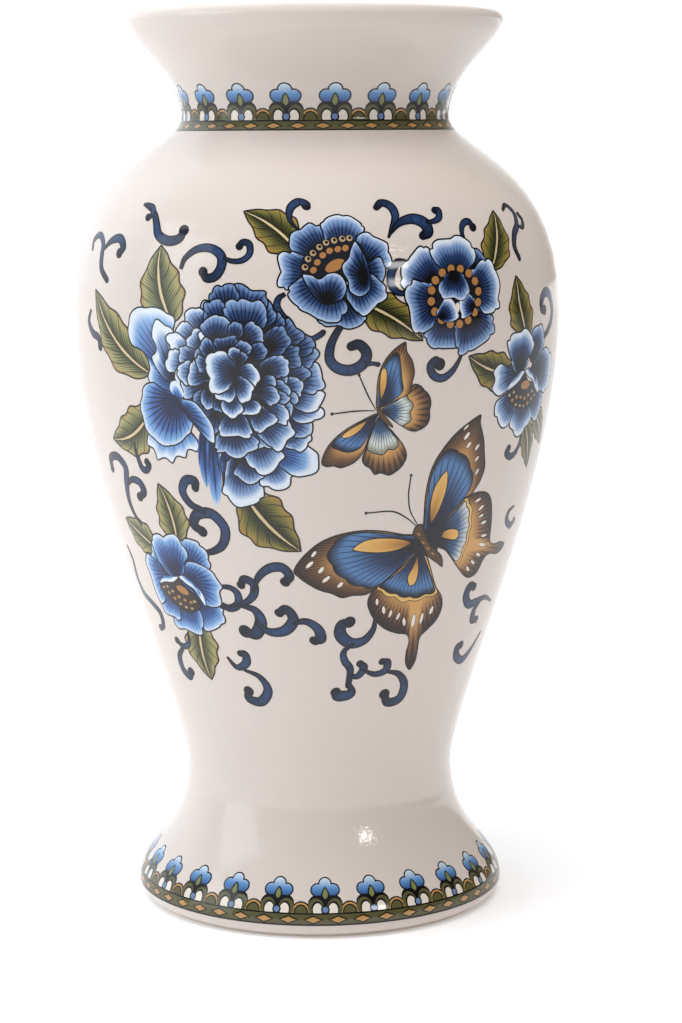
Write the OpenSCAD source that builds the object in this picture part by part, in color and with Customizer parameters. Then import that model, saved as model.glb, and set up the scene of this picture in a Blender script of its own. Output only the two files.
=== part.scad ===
// Baluster vase with a flared mouth and a spreading foot.
// A hollow fired-clay body carries three glaze coats and, on top of the outer coat,
// printed transfers: two border bands and two identical sprays, front and back.
// Millimetres, +Z up, origin at the centre of the base, front towards -Y.

/* [Overall shape] */
// Height from the base to the top of the lip
height = 350; // [335:1:440]
// Outside diameter of the mouth
mouth_d = 146; // [125:1:180]
// Outside diameter at the narrowest place of the neck
neck_d = 104; // [85:1:125]
// Distance from the top of the lip down to the narrowest place of the neck
neck_drop = 40; // [32:1:50]
// Outside diameter at the fullest place of the belly
belly_d = 191; // [150:1:230]
// Height of the fullest place of the belly
belly_z = 235; // [195:1:250]
// Outside diameter at the narrowest place of the waist
waist_d = 106; // [88:1:128]
// Height of the narrowest place of the waist
waist_z = 53; // [45:1:65]
// Outside diameter of the foot
foot_d = 146; // [130:1:176]
// Height of the fullest place of the foot
foot_z = 6; // [5:0.5:8]

/* [Fullness of the curves] */
// How far the foot keeps upright above its fullest place
foot_up = 12.5; // [9:0.5:16]
// How far the waist keeps upright below its narrowest place
waist_down = 28; // [20:1:32]
// How far the waist keeps upright above its narrowest place
waist_up = 24; // [16:1:40]
// How far the belly keeps upright below its fullest place
belly_down = 68; // [50:1:80]
// How far the belly keeps upright above its fullest place
belly_up = 58; // [48:1:60]
// How far the neck keeps upright below its narrowest place
neck_down = 14; // [8:1:16]
// How far the neck keeps upright above its narrowest place
neck_up = 17; // [10:1:20]
// Length of the straight pull below the lip
lip_pull = 7.5; // [4:0.5:10]
// Outward lean of the wall at the lip, in degrees
lip_lean = 4; // [0:1:12]

/* [Clay] */
// Wall of the clay
wall = 6; // [4.5:0.1:7.5]
// Thickness of the floor
floor_t = 7; // [5:0.5:10]
// Radius of the inside corner round the floor
floor_fillet = 8; // [6:0.5:12]
// Rounding of the foot's lower edge
foot_edge = 4; // [2:0.5:6]
// Height of the bare clay at the bottom of the foot
bare_h = 1.5; // [1:0.1:3]
// Width of the ring that the vase stands on
ring_w = 5; // [3:0.5:8]
// Depth of the hollow under the base
recess = 4; // [2:0.5:6]

/* [Glaze] */
// Thickness of each glaze coat
glaze_t = 0.5; // [0.3:0.05:0.8]
// Bare margin between the coat under the base and the standing ring
base_margin = 1; // [0.5:0.1:3]

/* [Borders] */
// Thickness of every printed transfer
print_t = 0.2; // [0.1:0.05:0.3]
// Height of the lozenge strip in both borders
strip_h = 4.6; // [3:0.1:6]
// Height of the strip's lower edge on the neck
neck_strip_z = 304; // [298:1:308]
// Height of the strip's lower edge on the foot
foot_strip_z = 6.2; // [5:0.1:8]
// Width of one fan in the borders
fan_w = 10.4; // [8:0.2:12]
// Height of one fan above its strip
fan_h = 14; // [10:0.5:16]
// Number of fans round the neck
neck_fans = 18; // [12:1:20]
// Number of fans round the foot
foot_fans = 24; // [16:1:26]
// Turn of the neck border from the front, in degrees
neck_turn = 8; // [0:1:20]
// Turn of the foot border from the front, in degrees
foot_turn = 1.5; // [0:0.5:15]

/* [Sprays] */
// Radius of the peony's head
peony_r = 30; // [24:1:34]
// Radius of the three upper flowers
flower_r = 15; // [10:0.5:17]
// Radius of the low flower
low_flower_r = 14; // [10:0.5:17]
// Reach of the small butterfly's wings
small_wing = 15; // [10:0.5:17]
// Reach of the large butterfly's wings
large_wing = 42; // [30:1:46]
// Length of a leaf
leaf_l = 26; // [18:1:30]
// Width of a leaf
leaf_w = 9; // [6:0.5:12]
// Radius of a scroll's curl
scroll_r = 6; // [4:0.5:8]
// Width of a scroll's line
scroll_w = 2.4; // [1.5:0.1:3]

/* [Hidden] */

$fn = 96;
front = 0;
back = 180;
neck_z = height - neck_drop;
lip_r = wall / 2 + glaze_t;

// Radii of the bare clay
mouth_c = mouth_d / 2 - lip_r;
neck_c = neck_d / 2 - glaze_t;
belly_c = belly_d / 2 - glaze_t;
waist_c = waist_d / 2 - glaze_t;
foot_c = foot_d / 2 - glaze_t;
stand_r = foot_c - foot_edge;
floor_z = recess + floor_t;

// Handle length that makes a Bezier quarter follow a round
round_k = 0.552;

// Where the upright clay ends and the half-round of the lip begins
lip_c = [mouth_c, height - lip_r];
lip_dir = [sin(lip_lean), cos(lip_lean)];
lip_end = lip_c + wall / 2 * [cos(lip_lean), -sin(lip_lean)];

// Five Bezier spans of the clay's outside, from the foot to the lip, each with its steps
SPANS = [
    [[stand_r, bare_h], [stand_r + round_k * foot_edge, bare_h],
     [foot_c, foot_z - round_k * (foot_z - bare_h)], [foot_c, foot_z], 4],
    [[foot_c, foot_z], [foot_c, foot_z + foot_up],
     [waist_c, waist_z - waist_down], [waist_c, waist_z], 10],
    [[waist_c, waist_z], [waist_c, waist_z + waist_up],
     [belly_c, belly_z - belly_down], [belly_c, belly_z], 18],
    [[belly_c, belly_z], [belly_c, belly_z + belly_up],
     [neck_c, neck_z - neck_down], [neck_c, neck_z], 14],
    [[neck_c, neck_z], [neck_c, neck_z + neck_up],
     lip_end - lip_pull * lip_dir, lip_end, 8]
];
LIP_STEPS = 6;

function bezier(s, t) =
    pow(1 - t, 3) * s[0] + 3 * pow(1 - t, 2) * t * s[1] + 3 * (1 - t) * t * t * s[2] + pow(t, 3) * s[3];
function slope(s, t) =
    pow(1 - t, 2) * (s[1] - s[0]) + 2 * (1 - t) * t * (s[2] - s[1]) + t * t * (s[3] - s[2]);
function outward(v) = [v[1], -v[0]] / norm(v);

// Point of a span, moved out by d along the normal
function span_point(s, t, d) = bezier(s, t) + d * outward(slope(s, t));

// The clay's outside moved out by d, from the foot to the lip
function side(d) = [
    for (k = [0 : len(SPANS) - 1])
        for (i = [(k == 0 ? 0 : 1) : SPANS[k][4]])
            span_point(SPANS[k], i / SPANS[k][4], d)
];

// Half of the lip's round, moved out by d: half 0 is the outer one, half 1 the inner one
function lip_round(d, half) = [
    for (i = [1 : LIP_STEPS])
        let (a = (half == 0 ? -lip_lean : 90) + (90 + (half == 0 ? lip_lean : -lip_lean)) * i / LIP_STEPS)
            lip_c + (wall / 2 + d) * [cos(a), sin(a)]
];

// The clay's inside moved in by d, from the lip down to the floor's corner and the axis
function inside(d) =
    let (own = side(-wall), moved = side(-wall - d), last = len(own) - 1)
    let (upright = [for (i = [last - 1 : -1 : 0]) if (own[i][1] > floor_z + floor_fillet) moved[i]])
    let (low = [for (i = [last - 1 : -1 : 0]) if (own[i][1] > floor_z + floor_fillet) own[i]])
    let (c = [low[len(low) - 1][0] - floor_fillet, floor_z + floor_fillet])
    concat(upright,
        [for (a = [0 : -15 : -90]) c + (floor_fillet - d) * [cos(a), sin(a)]],
        [[0, floor_z + d]]);

function backwards(v) = [for (i = [len(v) - 1 : -1 : 0]) v[i]];

module clay_body() {
    color([0.86, 0.76, 0.64])
        rotate_extrude()
            polygon(concat(
                [[stand_r, 0]], side(0), lip_round(0, 0), lip_round(0, 1), inside(0),
                [[0, recess], [stand_r - ring_w, recess], [stand_r - ring_w, 0]]));
}

module outer_glaze() {
    color([0.93, 0.90, 0.85])
        rotate_extrude()
            polygon(concat(
                side(glaze_t), lip_round(glaze_t, 0),
                backwards(concat(side(0), lip_round(0, 0)))));
}

module inner_glaze() {
    crest = [lip_c + [0, wall / 2]];
    color([0.91, 0.87, 0.81])
        rotate_extrude()
            polygon(concat(
                crest, lip_round(0, 1), inside(0),
                backwards(concat(crest + [[0, glaze_t]], lip_round(glaze_t, 1), inside(glaze_t)))));
}

module base_glaze() {
    color([0.91, 0.87, 0.81])
        translate([0, 0, recess - glaze_t])
            cylinder(r = stand_r - ring_w - base_margin, h = glaze_t);
}

// Film of print that follows the glaze between two heights
module film(low, high) {
    own = side(glaze_t);
    out = side(glaze_t + print_t);
    first = min([for (i = [0 : len(own) - 1]) if (own[i][1] > low) i]);
    last = max([for (i = [0 : len(own) - 1]) if (own[i][1] < high) i]);
    span = [for (i = [max(first - 1, 0) : min(last + 1, len(own) - 1)]) i];
    rotate_extrude()
        intersection() {
            polygon(concat([for (i = span) out[i]], backwards([for (i = span) own[i]])));
            translate([0, low])
                square([belly_d, high - low]);
        }
}

// A flat outline cut out of the film at an angle round the vase, centred on a height
module transfer(turn, z, reach) {
    intersection() {
        film(z - reach, z + reach);
        rotate([0, 0, turn])
            translate([0, 0, z])
                rotate([90, 0, 0])
                    linear_extrude(height = belly_d)
                        children();
    }
}

// One border: the lozenge strip and the fans that stand on it, cut out of one film.
// The film's seam at +X lies halfway between two fans.
module border(z, fans, turn) {
    half_pitch = 180 / fans;
    rotate([0, 0, turn + half_pitch - 90])
        intersection() {
            film(z, z + strip_h + fan_h);
            union() {
                translate([0, 0, z - 1])
                    cylinder(r = belly_d, h = strip_h + 1);
                for (i = [0 : fans - 1])
                    rotate([0, 0, 90 + half_pitch * (2 * i + 1)])
                        translate([0, 0, z + strip_h])
                            rotate([90, 0, 0])
                                linear_extrude(height = belly_d)
                                    fan_outline();
            }
        }
}

// Fan on its narrow bead: bead, volutes, then the lobed head
module fan_outline() {
    bead = 0.14 * fan_w;
    polygon([
        [-bead, -1], [-bead, 0.2 * fan_h], [-0.5 * fan_w, 0.28 * fan_h], [-0.5 * fan_w, 0.48 * fan_h],
        [-0.42 * fan_w, 0.78 * fan_h], [-0.16 * fan_w, 0.97 * fan_h],
        [0.16 * fan_w, 0.97 * fan_h], [0.42 * fan_w, 0.78 * fan_h],
        [0.5 * fan_w, 0.48 * fan_h], [0.5 * fan_w, 0.28 * fan_h], [bead, 0.2 * fan_h], [bead, -1]
    ]);
}

module neck_border() {
    color([0.38, 0.38, 0.20])
        border(neck_strip_z, neck_fans, neck_turn);
}

module foot_border() {
    color([0.38, 0.38, 0.20])
        border(foot_strip_z, foot_fans, foot_turn);
}

// Flower head with scalloped edge
module rosette(r, lobes) {
    polygon([for (i = [0 : 4 * lobes - 1])
        let (a = 90 * i / lobes)
            r * (0.94 + 0.06 * cos(lobes * a)) * [cos(a), sin(a)]]);
}

// Four wings round a body, with notches between the wings
module wings(r, tilt) {
    rotate(tilt)
        polygon([for (a = [0 : 10 : 350])
            r * (0.3 + 0.7 * pow(abs(sin(2 * a)), 0.7)) * [cos(a), 0.85 * sin(a)]]);
}

// Pointed leaf between two arcs, from its stalk at the origin
module leaf_outline() {
    arc_r = (leaf_l * leaf_l + leaf_w * leaf_w) / (4 * leaf_w);
    half = asin(leaf_l / 2 / arc_r);
    edge = [for (i = [-4 : 4]) [arc_r * sin(half * i / 4), arc_r * (cos(half * i / 4) - cos(half))]];
    translate([leaf_l / 2, 0])
        polygon(concat(edge, [for (i = [len(edge) - 2 : -1 : 1]) [edge[i][0], -edge[i][1]]]));
}

// Comma-shaped curl that thins out towards its tail
module scroll_outline(mirrored) {
    mirror([mirrored, 0])
        polygon(concat(
            [for (a = [-60 : 20 : 200]) (scroll_r + scroll_w / 2) * [cos(a), sin(a)]],
            [for (a = [200 : -20 : -60])
                (scroll_r + scroll_w / 2 - scroll_w * (1.1 - 0.9 * abs(a - 70) / 130)) * [cos(a), sin(a)]]));
}

module peony(spray) {
    color([0.16, 0.24, 0.50])
        transfer(spray - 17, 217, peony_r)
            rosette(peony_r, 9);
}

module stamen_flower(spray) {
    color([0.45, 0.58, 0.80])
        transfer(spray + 4, 256, flower_r)
            rosette(flower_r, 6);
}

module ring_flower(spray) {
    color([0.30, 0.44, 0.72])
        transfer(spray + 31, 246, flower_r)
            rosette(flower_r, 8);
}

module bell_flower(spray) {
    color([0.24, 0.36, 0.62])
        transfer(spray + 55, 213, flower_r)
            rosette(flower_r, 5);
}

module low_flower(spray) {
    color([0.45, 0.58, 0.80])
        transfer(spray - 42, 136, low_flower_r)
            rosette(low_flower_r, 7);
}

module small_butterfly(spray) {
    color([0.35, 0.48, 0.75])
        transfer(spray + 14, 205, small_wing)
            wings(small_wing, 20);
}

module large_butterfly(spray) {
    color([0.30, 0.40, 0.66])
        transfer(spray + 27, 150, large_wing)
            wings(large_wing, 35);
}

// Leaves: angle round the vase from the spray's middle, height, and the way the leaf points
LEAVES = [
    [-34, 241, 105], [-42, 221, 142], [-44, 209, 222], [-20, 172, -41], [-7, 263, 130],
    [10, 240, -27], [33, 227, -97], [45, 257, 95], [55, 231, 103], [58, 195, -95],
    [-43, 153, 105], [-56, 142, 122], [-35, 119, -100]
];

module leaves(spray) {
    color([0.42, 0.44, 0.20])
        for (l = LEAVES)
            transfer(spray + l[0], l[1], leaf_l)
                rotate(l[2])
                    leaf_outline();
}

// Scrolls: angle round the vase from the spray's middle, height, turn, and mirrored or not
SCROLLS = [
    [-48, 272, 20, 0], [-62, 256, 60, 1], [-24, 262, 0, 0], [-1, 282, 90, 1], [26, 274, 150, 0],
    [63, 266, 200, 1], [67, 232, 30, 0], [44, 183, 120, 1], [-60, 233, 80, 0], [-66, 190, 160, 1],
    [-33, 172, 40, 0], [-23, 129, 110, 0], [-20, 100, 0, 1], [16, 100, 200, 0], [58, 110, 30, 1],
    [80, 160, 90, 0]
];

module scrolls(spray) {
    color([0.12, 0.18, 0.40])
        for (s = SCROLLS)
            transfer(spray + s[0], s[1], scroll_r + scroll_w)
                rotate(s[2])
                    scroll_outline(s[3]);
}

clay_body();
outer_glaze();
inner_glaze();
base_glaze();
neck_border();
foot_border();
peony(front);  // front_peony
stamen_flower(front);  // front_stamen_flower
ring_flower(front);  // front_ring_flower
bell_flower(front);  // front_bell_flower
low_flower(front);  // front_low_flower
small_butterfly(front);  // front_small_butterfly
large_butterfly(front);  // front_large_butterfly
leaves(front);  // front_leaves
scrolls(front);  // front_scrolls
peony(back);  // back_peony
stamen_flower(back);  // back_stamen_flower
ring_flower(back);  // back_ring_flower
bell_flower(back);  // back_bell_flower
low_flower(back);  // back_low_flower
small_butterfly(back);  // back_small_butterfly
large_butterfly(back);  // back_large_butterfly
leaves(back);  // back_leaves
scrolls(back);  // back_scrolls
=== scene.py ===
"""Decorated baluster vase: glaze coats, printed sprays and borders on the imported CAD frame.

Everything is drawn in millimetres on the glaze: x runs round the vase, y up its side.
"""

import math

import bpy
import numpy as np
from mathutils import Matrix, Vector
from mathutils.geometry import delaunay_2d_cdt


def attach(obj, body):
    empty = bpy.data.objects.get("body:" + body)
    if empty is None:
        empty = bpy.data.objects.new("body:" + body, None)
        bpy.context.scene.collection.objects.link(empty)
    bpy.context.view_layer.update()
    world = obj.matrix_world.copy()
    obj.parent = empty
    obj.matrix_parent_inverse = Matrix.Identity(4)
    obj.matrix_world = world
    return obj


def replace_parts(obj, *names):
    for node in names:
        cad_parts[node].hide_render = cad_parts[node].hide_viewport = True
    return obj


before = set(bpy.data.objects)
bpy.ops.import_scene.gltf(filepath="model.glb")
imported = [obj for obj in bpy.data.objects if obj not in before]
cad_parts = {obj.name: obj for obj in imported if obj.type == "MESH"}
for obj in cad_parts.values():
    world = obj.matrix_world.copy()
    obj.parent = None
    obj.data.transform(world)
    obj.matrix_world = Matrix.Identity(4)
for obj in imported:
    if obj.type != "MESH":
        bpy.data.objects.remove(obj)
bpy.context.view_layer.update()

MM = 0.001


# ---------------------------------------------------------------- glazed surface


def catmull(points, closed, steps):
    """A smooth line through the points."""
    p = np.array(points, float)
    if closed:
        p = np.vstack([p[-1:], p, p[:2]])
    else:
        p = np.vstack([2 * p[:1] - p[1:2], p, 2 * p[-1:] - p[-2:-1]])
    t = np.linspace(0, 1, steps, endpoint=False)[:, None]
    runs = []
    for a, b, c, d in zip(p, p[1:], p[2:], p[3:]):
        square, cube = 2 * a - 5 * b + 4 * c - d, 3 * b - a - 3 * c + d
        runs.append(0.5 * (2 * b + (c - a) * t + square * t**2 + cube * t**3))
    line = np.vstack(runs)
    if not closed:
        line = np.vstack([line, p[-2:-1]])
    return line


def coat_line(node, side):
    """Points (radius, height) in mm up one side of a coat, low to high: side 1 outside, -1 inside."""
    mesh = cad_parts[node].data
    found = set()
    for face in mesh.polygons:
        centre = face.center
        reach = math.hypot(centre.x, centre.y)
        facing = side * (face.normal.x * centre.x + face.normal.y * centre.y) / max(reach, 1e-9)
        is_floor = side < 0 and face.normal.z > 0.98
        if facing > 0.02 or is_floor:
            for index in face.vertices:
                co = mesh.vertices[index].co
                found.add((round(math.hypot(co.x, co.y) / MM, 2), round(co.z / MM, 2)))
    return sorted(found, key=lambda p: (p[1], p[0]))


class Skin:
    """The outer glaze as a surface: where a drawn point lies on it, and which way it faces."""

    def __init__(self, line):
        fine = catmull(line, False, 12)
        self.step = np.concatenate([[0], np.cumsum(np.hypot(*np.diff(fine, axis=0).T))])
        self.r, self.z = fine.T
        dr = np.gradient(self.r, self.step)
        dz = np.gradient(self.z, self.step)
        size = np.hypot(dr, dz)
        self.nr, self.nz = dz / size, -dr / size

    def arc_at(self, height):
        return np.interp(height, self.z, self.step)

    def place(self, turn, arc, lift):
        """Points in metres and their normals, for angles, distances up the side and heights above it."""
        r, z = np.interp(arc, self.step, self.r), np.interp(arc, self.step, self.z)
        nr, nz = np.interp(arc, self.step, self.nr), np.interp(arc, self.step, self.nz)
        out = r + lift * nr
        points = np.stack([out * np.sin(turn), -out * np.cos(turn), z + lift * nz], -1) * MM
        normals = np.stack([nr * np.sin(turn), -nr * np.cos(turn), nz], -1)
        return points, normals


OUTSIDE = coat_line("outer_glaze", 1)
INSIDE = coat_line("inner_glaze", -1)
SKIN = Skin(OUTSIDE)


# ---------------------------------------------------------------- materials


def tint(red, green, blue):
    """Linear colour for a screen colour of 0 to 255."""
    def linear(value):
        value /= 255
        return value / 12.92 if value <= 0.04045 else ((value + 0.055) / 1.055) ** 2.4
    return linear(red), linear(green), linear(blue), 1.0


GLOSS = 0.10
INK = tint(9, 9, 13)
NAVY = tint(7, 9, 18)
BLUE = tint(42, 68, 116)
SKY = tint(124, 154, 198)
PALE = tint(216, 224, 235)
OCHRE = tint(205, 152, 78)
CREAM = tint(228, 217, 205)


def set_ramp(node, stops):
    """Gives a ColorRamp node its (position, colour) stops."""
    elements = node.color_ramp.elements
    while len(elements) < len(stops):
        elements.new(0.5)
    for element, (position, colour) in zip(elements, stops):
        element.position = position
        element.color = colour


class Paint:
    """A glossy ceramic material whose colour is worked out from the drawing's own coordinates."""

    def __init__(self, name, colour=None, roughness=GLOSS):
        self.material = bpy.data.materials.new(name)
        self.material.use_nodes = True
        self.nodes = self.material.node_tree.nodes
        self.links = self.material.node_tree.links
        self.shader = self.nodes["Principled BSDF"]
        self.shader.inputs["Roughness"].default_value = roughness
        if colour:
            self.shader.inputs["Base Color"].default_value = colour
            self.material.diffuse_color = colour

    def drawing(self):
        """The three drawing coordinates: along, across or round, and tone."""
        source = self.nodes.new("ShaderNodeAttribute")
        source.attribute_name = "paint"
        split = self.nodes.new("ShaderNodeSeparateXYZ")
        self.links.new(source.outputs["Vector"], split.inputs[0])
        return split.outputs

    def maths(self, operation, *values, clamp=False):
        """A Math node on numbers or other nodes' outputs."""
        node = self.nodes.new("ShaderNodeMath")
        node.operation = operation
        node.use_clamp = clamp
        for socket, value in zip(node.inputs, values):
            if isinstance(value, (int, float)):
                socket.default_value = value
            else:
                self.links.new(value, socket)
        return node.outputs[0]

    def ramp(self, value, *stops):
        """A colour ramp through (position, colour) stops."""
        node = self.nodes.new("ShaderNodeValToRGB")
        set_ramp(node, stops)
        self.links.new(value, node.inputs[0])
        return node.outputs[0]

    def mix(self, share, first, second):
        """Two colours mixed; a share of 0 is the first."""
        node = self.nodes.new("ShaderNodeMix")
        node.data_type = "RGBA"
        sockets = [node.inputs[0], node.inputs[6], node.inputs[7]]
        for socket, value in zip(sockets, (share, first, second)):
            if isinstance(value, (int, float, tuple)):
                socket.default_value = value
            else:
                self.links.new(value, socket)
        return node.outputs[2]

    def stripes(self, value, width, edge):
        """1 on thin lines at each whole step of value, 0 between them; width is the line's share."""
        part = self.maths("FRACT", value)
        off = self.maths("ABSOLUTE", self.maths("SUBTRACT", part, 0.5))
        near = self.maths("MULTIPLY", off, 2.0)
        bar = self.maths("SUBTRACT", 1.0, width)
        return self.maths("DIVIDE", self.maths("SUBTRACT", near, bar), edge, clamp=True)

    def lined(self, base, value, width, edge, share, colour):
        """The base colour with lines of another laid over it; share is how far they cover it."""
        return self.mix(self.maths("MULTIPLY", self.stripes(value, width, edge), share), base, colour)

    def finish(self, colour):
        self.links.new(colour, self.shader.inputs["Base Color"])
        return self


def petal_paint(name, deep, middle, light, edge, dark):
    """Dark at the petal's root, pale at its rim, with fine lines that thin out towards the rim."""
    paint = Paint(name)
    along, across, tone = paint.drawing()
    shade = paint.maths("ADD", along, tone)
    base = paint.ramp(shade, (0.34, deep), (0.66, middle), (0.85, light), (0.97, edge))
    width = paint.maths("MULTIPLY", paint.maths("SUBTRACT", 0.98, shade, clamp=True), 1.15)
    return paint.finish(paint.lined(base, paint.maths("MULTIPLY", across, 0.62), width, 0.2, 0.92, dark))


def leaf_paint(name, paler):
    """A pale rib, dark side veins and fine hatching on green, browner towards the edge; paler gives paler,
    greyer greens.
    """
    paint = Paint(name)
    along, across, tone = paint.drawing()
    side = paint.maths("ABSOLUTE", across)
    inner, outer = ((104, 108, 66), (160, 154, 102)) if paler else ((66, 68, 32), (136, 124, 58))
    base = paint.ramp(side, (0.04, tint(26, 26, 14)), (0.32, tint(*inner)), (0.78, tint(*outer)),
                      (1.0, tint(176, 118, 58)))
    slant = paint.maths("MULTIPLY", along, 26.0)
    slant = paint.maths("SUBTRACT", slant, paint.maths("MULTIPLY", side, 6.0))
    width = paint.maths("SUBTRACT", 0.86, paint.maths("MULTIPLY", side, 0.85))
    base = paint.lined(base, slant, width, 0.3, 0.8, tint(26, 26, 14))
    vein = paint.maths("SUBTRACT", paint.maths("MULTIPLY", along, 6.0), paint.maths("MULTIPLY", side, 1.7))
    base = paint.lined(base, vein, 0.16, 0.12, 0.9, tint(24, 24, 14))
    rib = paint.maths("LESS_THAN", side, 0.06)
    return paint.finish(paint.mix(rib, base, tint(206, 184, 140)))


def wing_paint(name, near, far, pale, rim):
    """Dark veins out to the edge, with finer lines between them near the root and at the rim."""
    paint = Paint(name)
    along, across, tone = paint.drawing()
    shade = paint.maths("ADD", along, tone)
    base = paint.ramp(shade, (0.14, near), (0.54, far), (0.80, pale), (0.88, pale), (1.0, rim))
    finer = paint.maths("MULTIPLY", across, 3.0)
    inner = paint.maths("MULTIPLY", paint.maths("SUBTRACT", 0.9, shade, clamp=True), 1.15)
    outer = paint.maths("MULTIPLY", paint.maths("SUBTRACT", shade, 0.8, clamp=True), 3.0)
    width = paint.maths("MAXIMUM", inner, outer)
    base = paint.lined(base, finer, width, 0.3, 0.82, INK)
    width = paint.maths("MULTIPLY", paint.maths("SUBTRACT", 1.3, along), 0.42)
    return paint.finish(paint.lined(base, across, width, 0.12, 0.94, INK))


def margin_paint(name, inner, middle, outer):
    """A wing's margin: darker outwards, with dark lines that widen towards the rim."""
    paint = Paint(name)
    along, across, tone = paint.drawing()
    shade = paint.maths("ADD", along, tone)
    base = paint.ramp(shade, (0.60, inner), (0.80, middle), (0.96, outer))
    width = paint.maths("MULTIPLY", paint.maths("SUBTRACT", shade, 0.60, clamp=True), 2.3)
    return paint.finish(paint.lined(base, across, width, 0.25, 0.85, tint(32, 22, 18)))


def scroll_paint(name):
    """Navy, bluer along the middle of the stroke."""
    paint = Paint(name)
    along, across, tone = paint.drawing()
    base = paint.ramp(along, (0.1, tint(20, 32, 56)), (0.45, tint(44, 72, 118)), (0.95, tint(16, 24, 42)))
    side = paint.maths("ABSOLUTE", across)
    return paint.finish(paint.mix(paint.maths("MULTIPLY", side, 0.75, clamp=True), base, tint(10, 14, 26)))


def shaded_paint(name, *stops):
    """A paint that only changes outwards from its shape's root."""
    paint = Paint(name)
    return paint.finish(paint.ramp(paint.drawing()[0], *stops))


PAINTS = {
    "ink": Paint("ink", INK),
    "heart": Paint("flower_heart", tint(24, 24, 34)),
    "petal": petal_paint("blue_petal", NAVY, BLUE, SKY, PALE, INK),
    "soft_petal": petal_paint("pale_petal", tint(22, 42, 92), tint(54, 96, 164), tint(118, 162, 212), PALE,
                              tint(12, 20, 46)),
    "leaf": leaf_paint("leaf", False),
    # paler, greyer leaf greens, used for the leaves on the left of the sprays
    "dry_leaf": leaf_paint("pale_grey_leaf", True),
    "wing": wing_paint("blue_wing", tint(8, 12, 24), tint(34, 58, 106), tint(78, 120, 170),
                       tint(14, 18, 32)),
    "light_wing": wing_paint("light_wing", tint(12, 18, 36), tint(66, 106, 156), tint(206, 212, 208),
                             tint(176, 176, 152)),
    "margin": margin_paint("brown_margin", tint(204, 154, 90), tint(122, 82, 46), tint(44, 30, 24)),
    "cell": shaded_paint("ochre_cell", (0.1, tint(120, 70, 30)), (0.6, OCHRE), (1.0, tint(224, 180, 104))),
    "scroll": scroll_paint("scroll_blue"),
    "gold": Paint("gold_dot", tint(168, 118, 68)),
    "bead": Paint("pale_bead", tint(176, 150, 112)),
    "cream": Paint("cream_spot", CREAM),
    "dark_brown": Paint("flower_brown", tint(52, 38, 32)),
    "brown": Paint("body_brown", tint(84, 58, 38)),
    "olive": Paint("border_olive", tint(88, 84, 52)),
    "ochre": Paint("border_ochre", tint(186, 140, 84)),
    "bead_blue": Paint("border_bead", tint(104, 130, 172)),
    "green": Paint("border_green", tint(122, 128, 78)),
    "fan_blue": shaded_paint("fan_blue", (0.1, tint(40, 74, 132)), (0.5, tint(94, 142, 194)),
                             (0.95, tint(202, 218, 230))),
}


# ---------------------------------------------------------------- flat drawing kit


def turned_left(line):
    """The closed line, running anticlockwise."""
    x, y = line.T
    area = np.sum(x * np.roll(y, -1) - np.roll(x, -1) * y)
    return line if area > 0 else line[::-1]


def wandering(line):
    """The line with a slow, small waver, as a hand would draw it."""
    x, y = line.T
    return line + 0.55 * np.stack([np.sin(0.52 * y + 0.31 * x), np.sin(0.49 * x - 0.37 * y + 1)], 1)


def shrunk(line, inset):
    """The closed anticlockwise line moved inwards."""
    ahead = np.roll(line, -1, 0) - np.roll(line, 1, 0)
    ahead /= np.maximum(np.hypot(*ahead.T), 1e-9)[:, None]
    return line + inset * np.stack([-ahead[:, 1], ahead[:, 0]], 1)


def radial(root, tip, line, spacing):
    """Coordinates that run out from a root to a line: share of the way, and lines round it."""
    root, tip = np.array(root, float), np.array(tip, float)
    length = np.hypot(*(tip - root))
    heading = math.atan2(tip[1] - root[1], tip[0] - root[0])
    def polar(points):
        off = points - root
        angle = (np.arctan2(off[:, 1], off[:, 0]) - heading + math.pi) % (2 * math.pi) - math.pi
        return angle, np.hypot(*off.T)
    share = np.linspace(0, 1, 6, endpoint=False)[:, None, None]
    angle, reach = polar((line + share * (np.roll(line, -1, 0) - line)).reshape(-1, 2))
    parts = 120
    farthest = np.zeros(parts)
    np.maximum.at(farthest, ((angle + math.pi) / (2 * math.pi) * parts).astype(int) % parts, reach)
    held = np.flatnonzero(farthest > 0)
    middles = (held + 0.5) / parts * 2 * math.pi - math.pi
    def at(points):
        a, d = polar(points)
        edge = np.interp(a, middles, farthest[held], period=2 * math.pi)
        return d / np.maximum(edge, 0.5), a * length / spacing
    return at


def rising(low, high):
    """Coordinates that run up from one height to another."""
    def at(points):
        return (points[:, 1] - low) / (high - low), np.zeros(len(points))
    return at


def plain(points):
    """Coordinates for a paint that doesn't change."""
    return np.zeros(len(points)), np.zeros(len(points))


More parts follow.
